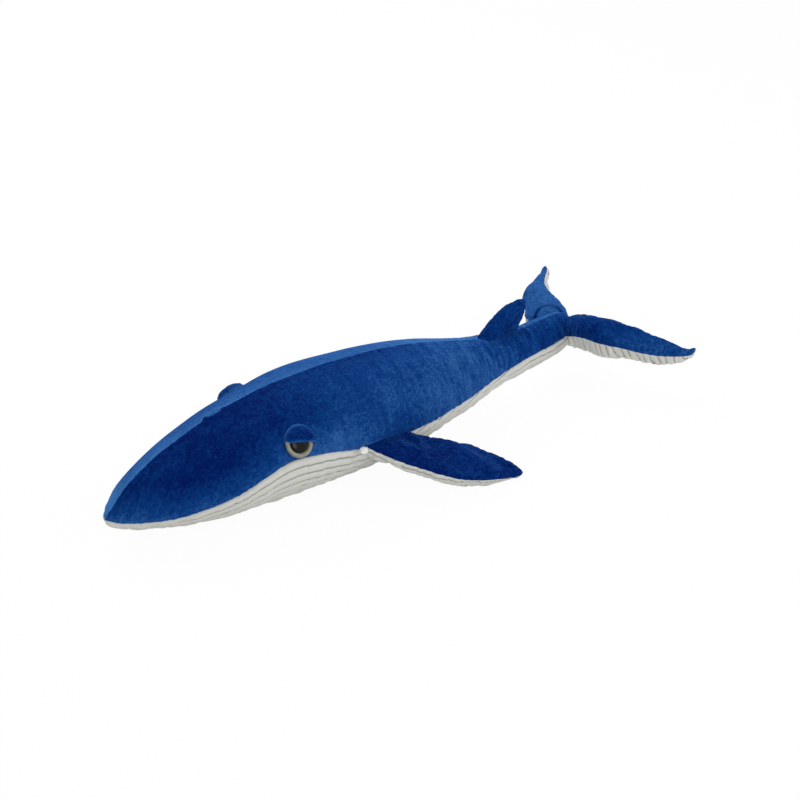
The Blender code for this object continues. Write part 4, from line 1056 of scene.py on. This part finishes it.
lobe -= GROOVE_SHARE * bell(behind_fold, GROOVE_BEHIND, GROOVE_WIDTH)
# Painted shadow behind the fold and a painted highlight on its brow
folded_laid_and_painted_light = FIN_LAID - FOLD_PAINTED_SHADOW * bell(behind_fold, SHADE_BEHIND, SHADE_WIDTH)
folded_laid_and_painted_light += BROW_PAINTED_HIGHLIGHT * bell(behind_fold, -BROW_AHEAD, BROW_WIDTH)
folded_grid = fin_grid.copy()
folded_grid[:, :, 1] *= lobe
fin_faces = {
    "left": (folded_grid, folded_laid_and_painted_light, ("dorsal_fin_panel_left", "dorsal_fin_stuffing")),
    "right": (fin_grid, FIN_LAID, ("dorsal_fin_panel_right",)),
}
for hand, side in SIDES.items():
    grid, laid_and_painted_light, names = fin_faces[hand]
    limb_cloth(
        f"dorsal_fin_blue_{hand}", grid, (0, -1, 0), side, FIN_SEEDS[hand],
        ("body", "dorsal_fin"), FIN_FLEX, names, laid_and_painted_light=laid_and_painted_light,
    )

# Flukes: cut and sewn like the flippers, with the blue cloth running on from the tail stock and
# the ribs of the white cloth running fore and aft. The tips turn up in a small nub.
FLUKE_SEEDS, FLUKE_EDGE_WAVE, UPWARD = {"left": 31.7, "right": 83.3}, 0.0009, Vector((0, 0, 1))
FLUKE_FLEX = Vector((0.364, -0.020, 0.09)), Vector((0.379, -0.055, 0.09))
# How far its top stands up and its underside hangs, as shares of its thickness
FLUKE_TOP_SHARE, FLUKE_TOP_POWER = {"left": 0.46, "right": 0.30}, {"left": 0.78, "right": 0.90}
FLUKE_UNDER_SHARE, FLUKE_UNDER_FORE = 0.82, {"left": UNDER_FORE, "right": 0.95}
# Where each fluke leaves the tail stock: its front edge, its rear edge and its thickness
FLUKE_ROOTS = {
    "left": (
        (0.3570, -0.0050, 0.0700, 0.3880, -0.0010, 0.0850, 0.030),
        (0.3590, -0.0280, 0.0770, 0.3950, -0.0160, 0.0950, 0.043),
        (0.3590, -0.0480, 0.0850, 0.3985, -0.0370, 0.1025, 0.046),
        (0.3590, -0.0700, 0.0905, 0.4015, -0.0600, 0.1060, 0.047),
    ),
    "right": (
        (0.3250, -0.0100, 0.0780, 0.3880, -0.0010, 0.0850, 0.030),
        (0.3300, -0.0350, 0.0885, 0.3950, -0.0160, 0.0950, 0.040),
        (0.3350, -0.0500, 0.0905, 0.3985, -0.0370, 0.1020, 0.048),
        (0.3500, -0.0700, 0.0925, 0.4015, -0.0600, 0.1060, 0.050),
    ),
}
FLUKE_ROWS = (
    (0.3677, -0.1000, 0.0905, 0.4150, -0.0850, 0.1055, 0.047),
    (0.3906, -0.1200, 0.0845, 0.4325, -0.1060, 0.0985, 0.042),
    (0.4145, -0.1390, 0.0764, 0.4505, -0.1280, 0.0895, 0.037),
    (0.4395, -0.1580, 0.0701, 0.4690, -0.1500, 0.0805, 0.032),
    (0.4660, -0.1750, 0.0668, 0.4840, -0.1695, 0.0735, 0.024),
    (0.4850, -0.1845, 0.0660, 0.4930, -0.1790, 0.0720, 0.0175),
    (0.4920, -0.1890, 0.0690, 0.4980, -0.1840, 0.0755, 0.0150),
    (0.4970, -0.1905, 0.0745, 0.4995, -0.1885, 0.0770, 0.005),
)
# How far the pile of each lies over, from the root outwards, with painted light that makes the
# right one paler
FLUKE_LAID_AND_PAINTED_LIGHT = {"left": ((0.10, 0.15), (0.24, 0.50)), "right": ((0.10, 0.15), (0.66, 0.60))}
# The ribs of its white cloth: their pitch and slant, and how they close up away from the root
FLUKE_RIB_PITCH, FLUKE_RIB_SLANT = 0.0120, 0.09
FLUKE_RIB_SPREAD = ((0.0, 0.07, 0.20), (0.0, 0.070, 0.261))
# The right fluke: how much further back its edges lie, how its tip is raised, and how far its
# white cloth hangs out behind it, all from the root outwards
RIGHT_FRONT_SET = ((0.05, 0.10, 0.125, 0.16, 0.185), (0.0, 0.004, 0.010, 0.011, 0.004))
RIGHT_REAR_SET = (
    (0.07, 0.10, 0.12, 0.14, 0.16, 0.18),
    (0.002, -0.002, -0.005, -0.0035, -0.0010, 0.0045),
)
RIGHT_RAISED = ((0.07, 0.18), (0.0, 0.002))
RIGHT_HANG = ((0.095, 0.120, 0.150, 0.172, 0.183), (0.0, 0.0055, 0.0042, 0.0025, 0.0))
RIGHT_HANG_POWER = 1.6
# A round crease parts it from the tail stock, which is domed inside the crease
CREASE_PLACE, CREASE_R, CREASE_Z, CREASE_REACH = (0.355, -0.006), 0.0265, 0.1050, 0.006
CREASE_DEPTH, CREASE_WIDTH, CREASE_OUTSIDE = 0.0075, 0.0022, 0.00176
# Painted shade darkens the cloth just outside the crease
CREASE_PAINTED_SHADE, CREASE_SHADE_OUTSIDE = 0.9, 0.00132
DOME_Z, DOME_FALL = 0.1140, 0.0080


def creased(top, from_dome):
    """Heights of the right fluke's top with the crease and the dome at its root."""
    z = top[:, :, 2]
    dome = DOME_Z - DOME_FALL * (from_dome / CREASE_R) ** 4
    beyond = np.exp(-np.maximum(from_dome - CREASE_R, 0) / CREASE_REACH)
    valley = z - np.maximum(z - CREASE_Z, 0) * beyond
    valley -= CREASE_DEPTH * bell(from_dome, CREASE_R + CREASE_OUTSIDE, CREASE_WIDTH)
    return np.where(from_dome < CREASE_R, np.minimum(z, dome), valley)


for hand, side in SIDES.items():
    rows = np.array(FLUKE_ROOTS[hand] + FLUKE_ROWS)
    if hand == "right":
        outwards = -rows[:, 1]
        rows[:, 0] += np.interp(outwards, *RIGHT_FRONT_SET)
        rows[:, 3] += np.interp(outwards, *RIGHT_REAR_SET)
        rows[:, [2, 5]] += np.interp(outwards, *RIGHT_RAISED)[:, None]
    power, fore = FLUKE_TOP_POWER[hand], FLUKE_UNDER_FORE[hand]
    top = limb_grid(rows, UPWARD, FLUKE_TOP_SHARE[hand], power, wave=FLUKE_EDGE_WAVE)
    under = limb_grid(rows, UPWARD, -FLUKE_UNDER_SHARE, UNDER_POWER, fore, FLUKE_EDGE_WAVE)
    top, under = settled(top, UPWARD, FLUKE_TOP_SLACK), settled(under, -UPWARD, HALF_SLACK)
    laid_and_painted_light = np.interp(-top[:, :, 1], *FLUKE_LAID_AND_PAINTED_LIGHT[hand])
    if hand == "right":
        from_dome = np.hypot(top[:, :, 0] - CREASE_PLACE[0], top[:, :, 1] - CREASE_PLACE[1])
        # Painted shade along the crease
        laid_and_painted_light -= CREASE_PAINTED_SHADE * bell(from_dome, CREASE_R + CREASE_SHADE_OUTSIDE, CREASE_WIDTH)
        top[:, :, 2] = creased(top, from_dome)
        behind = np.linspace(0, 1, under.shape[1]) ** RIGHT_HANG_POWER
        under[:, :, 0] += np.interp(-under[:, :, 1], *RIGHT_HANG) * np.sin(math.pi * behind)
    across = np.interp(-under[:, :, 1], *FLUKE_RIB_SPREAD) + FLUKE_RIB_SLANT * under[:, :, 0]
    two_faced_limb(
        f"fluke_{hand}", "tail", top, under, UPWARD, side,
        FLUKE_SEEDS[hand], FLUKE_FLEX, laid_and_painted_light, across * RIB_PITCH / FLUKE_RIB_PITCH,
    )
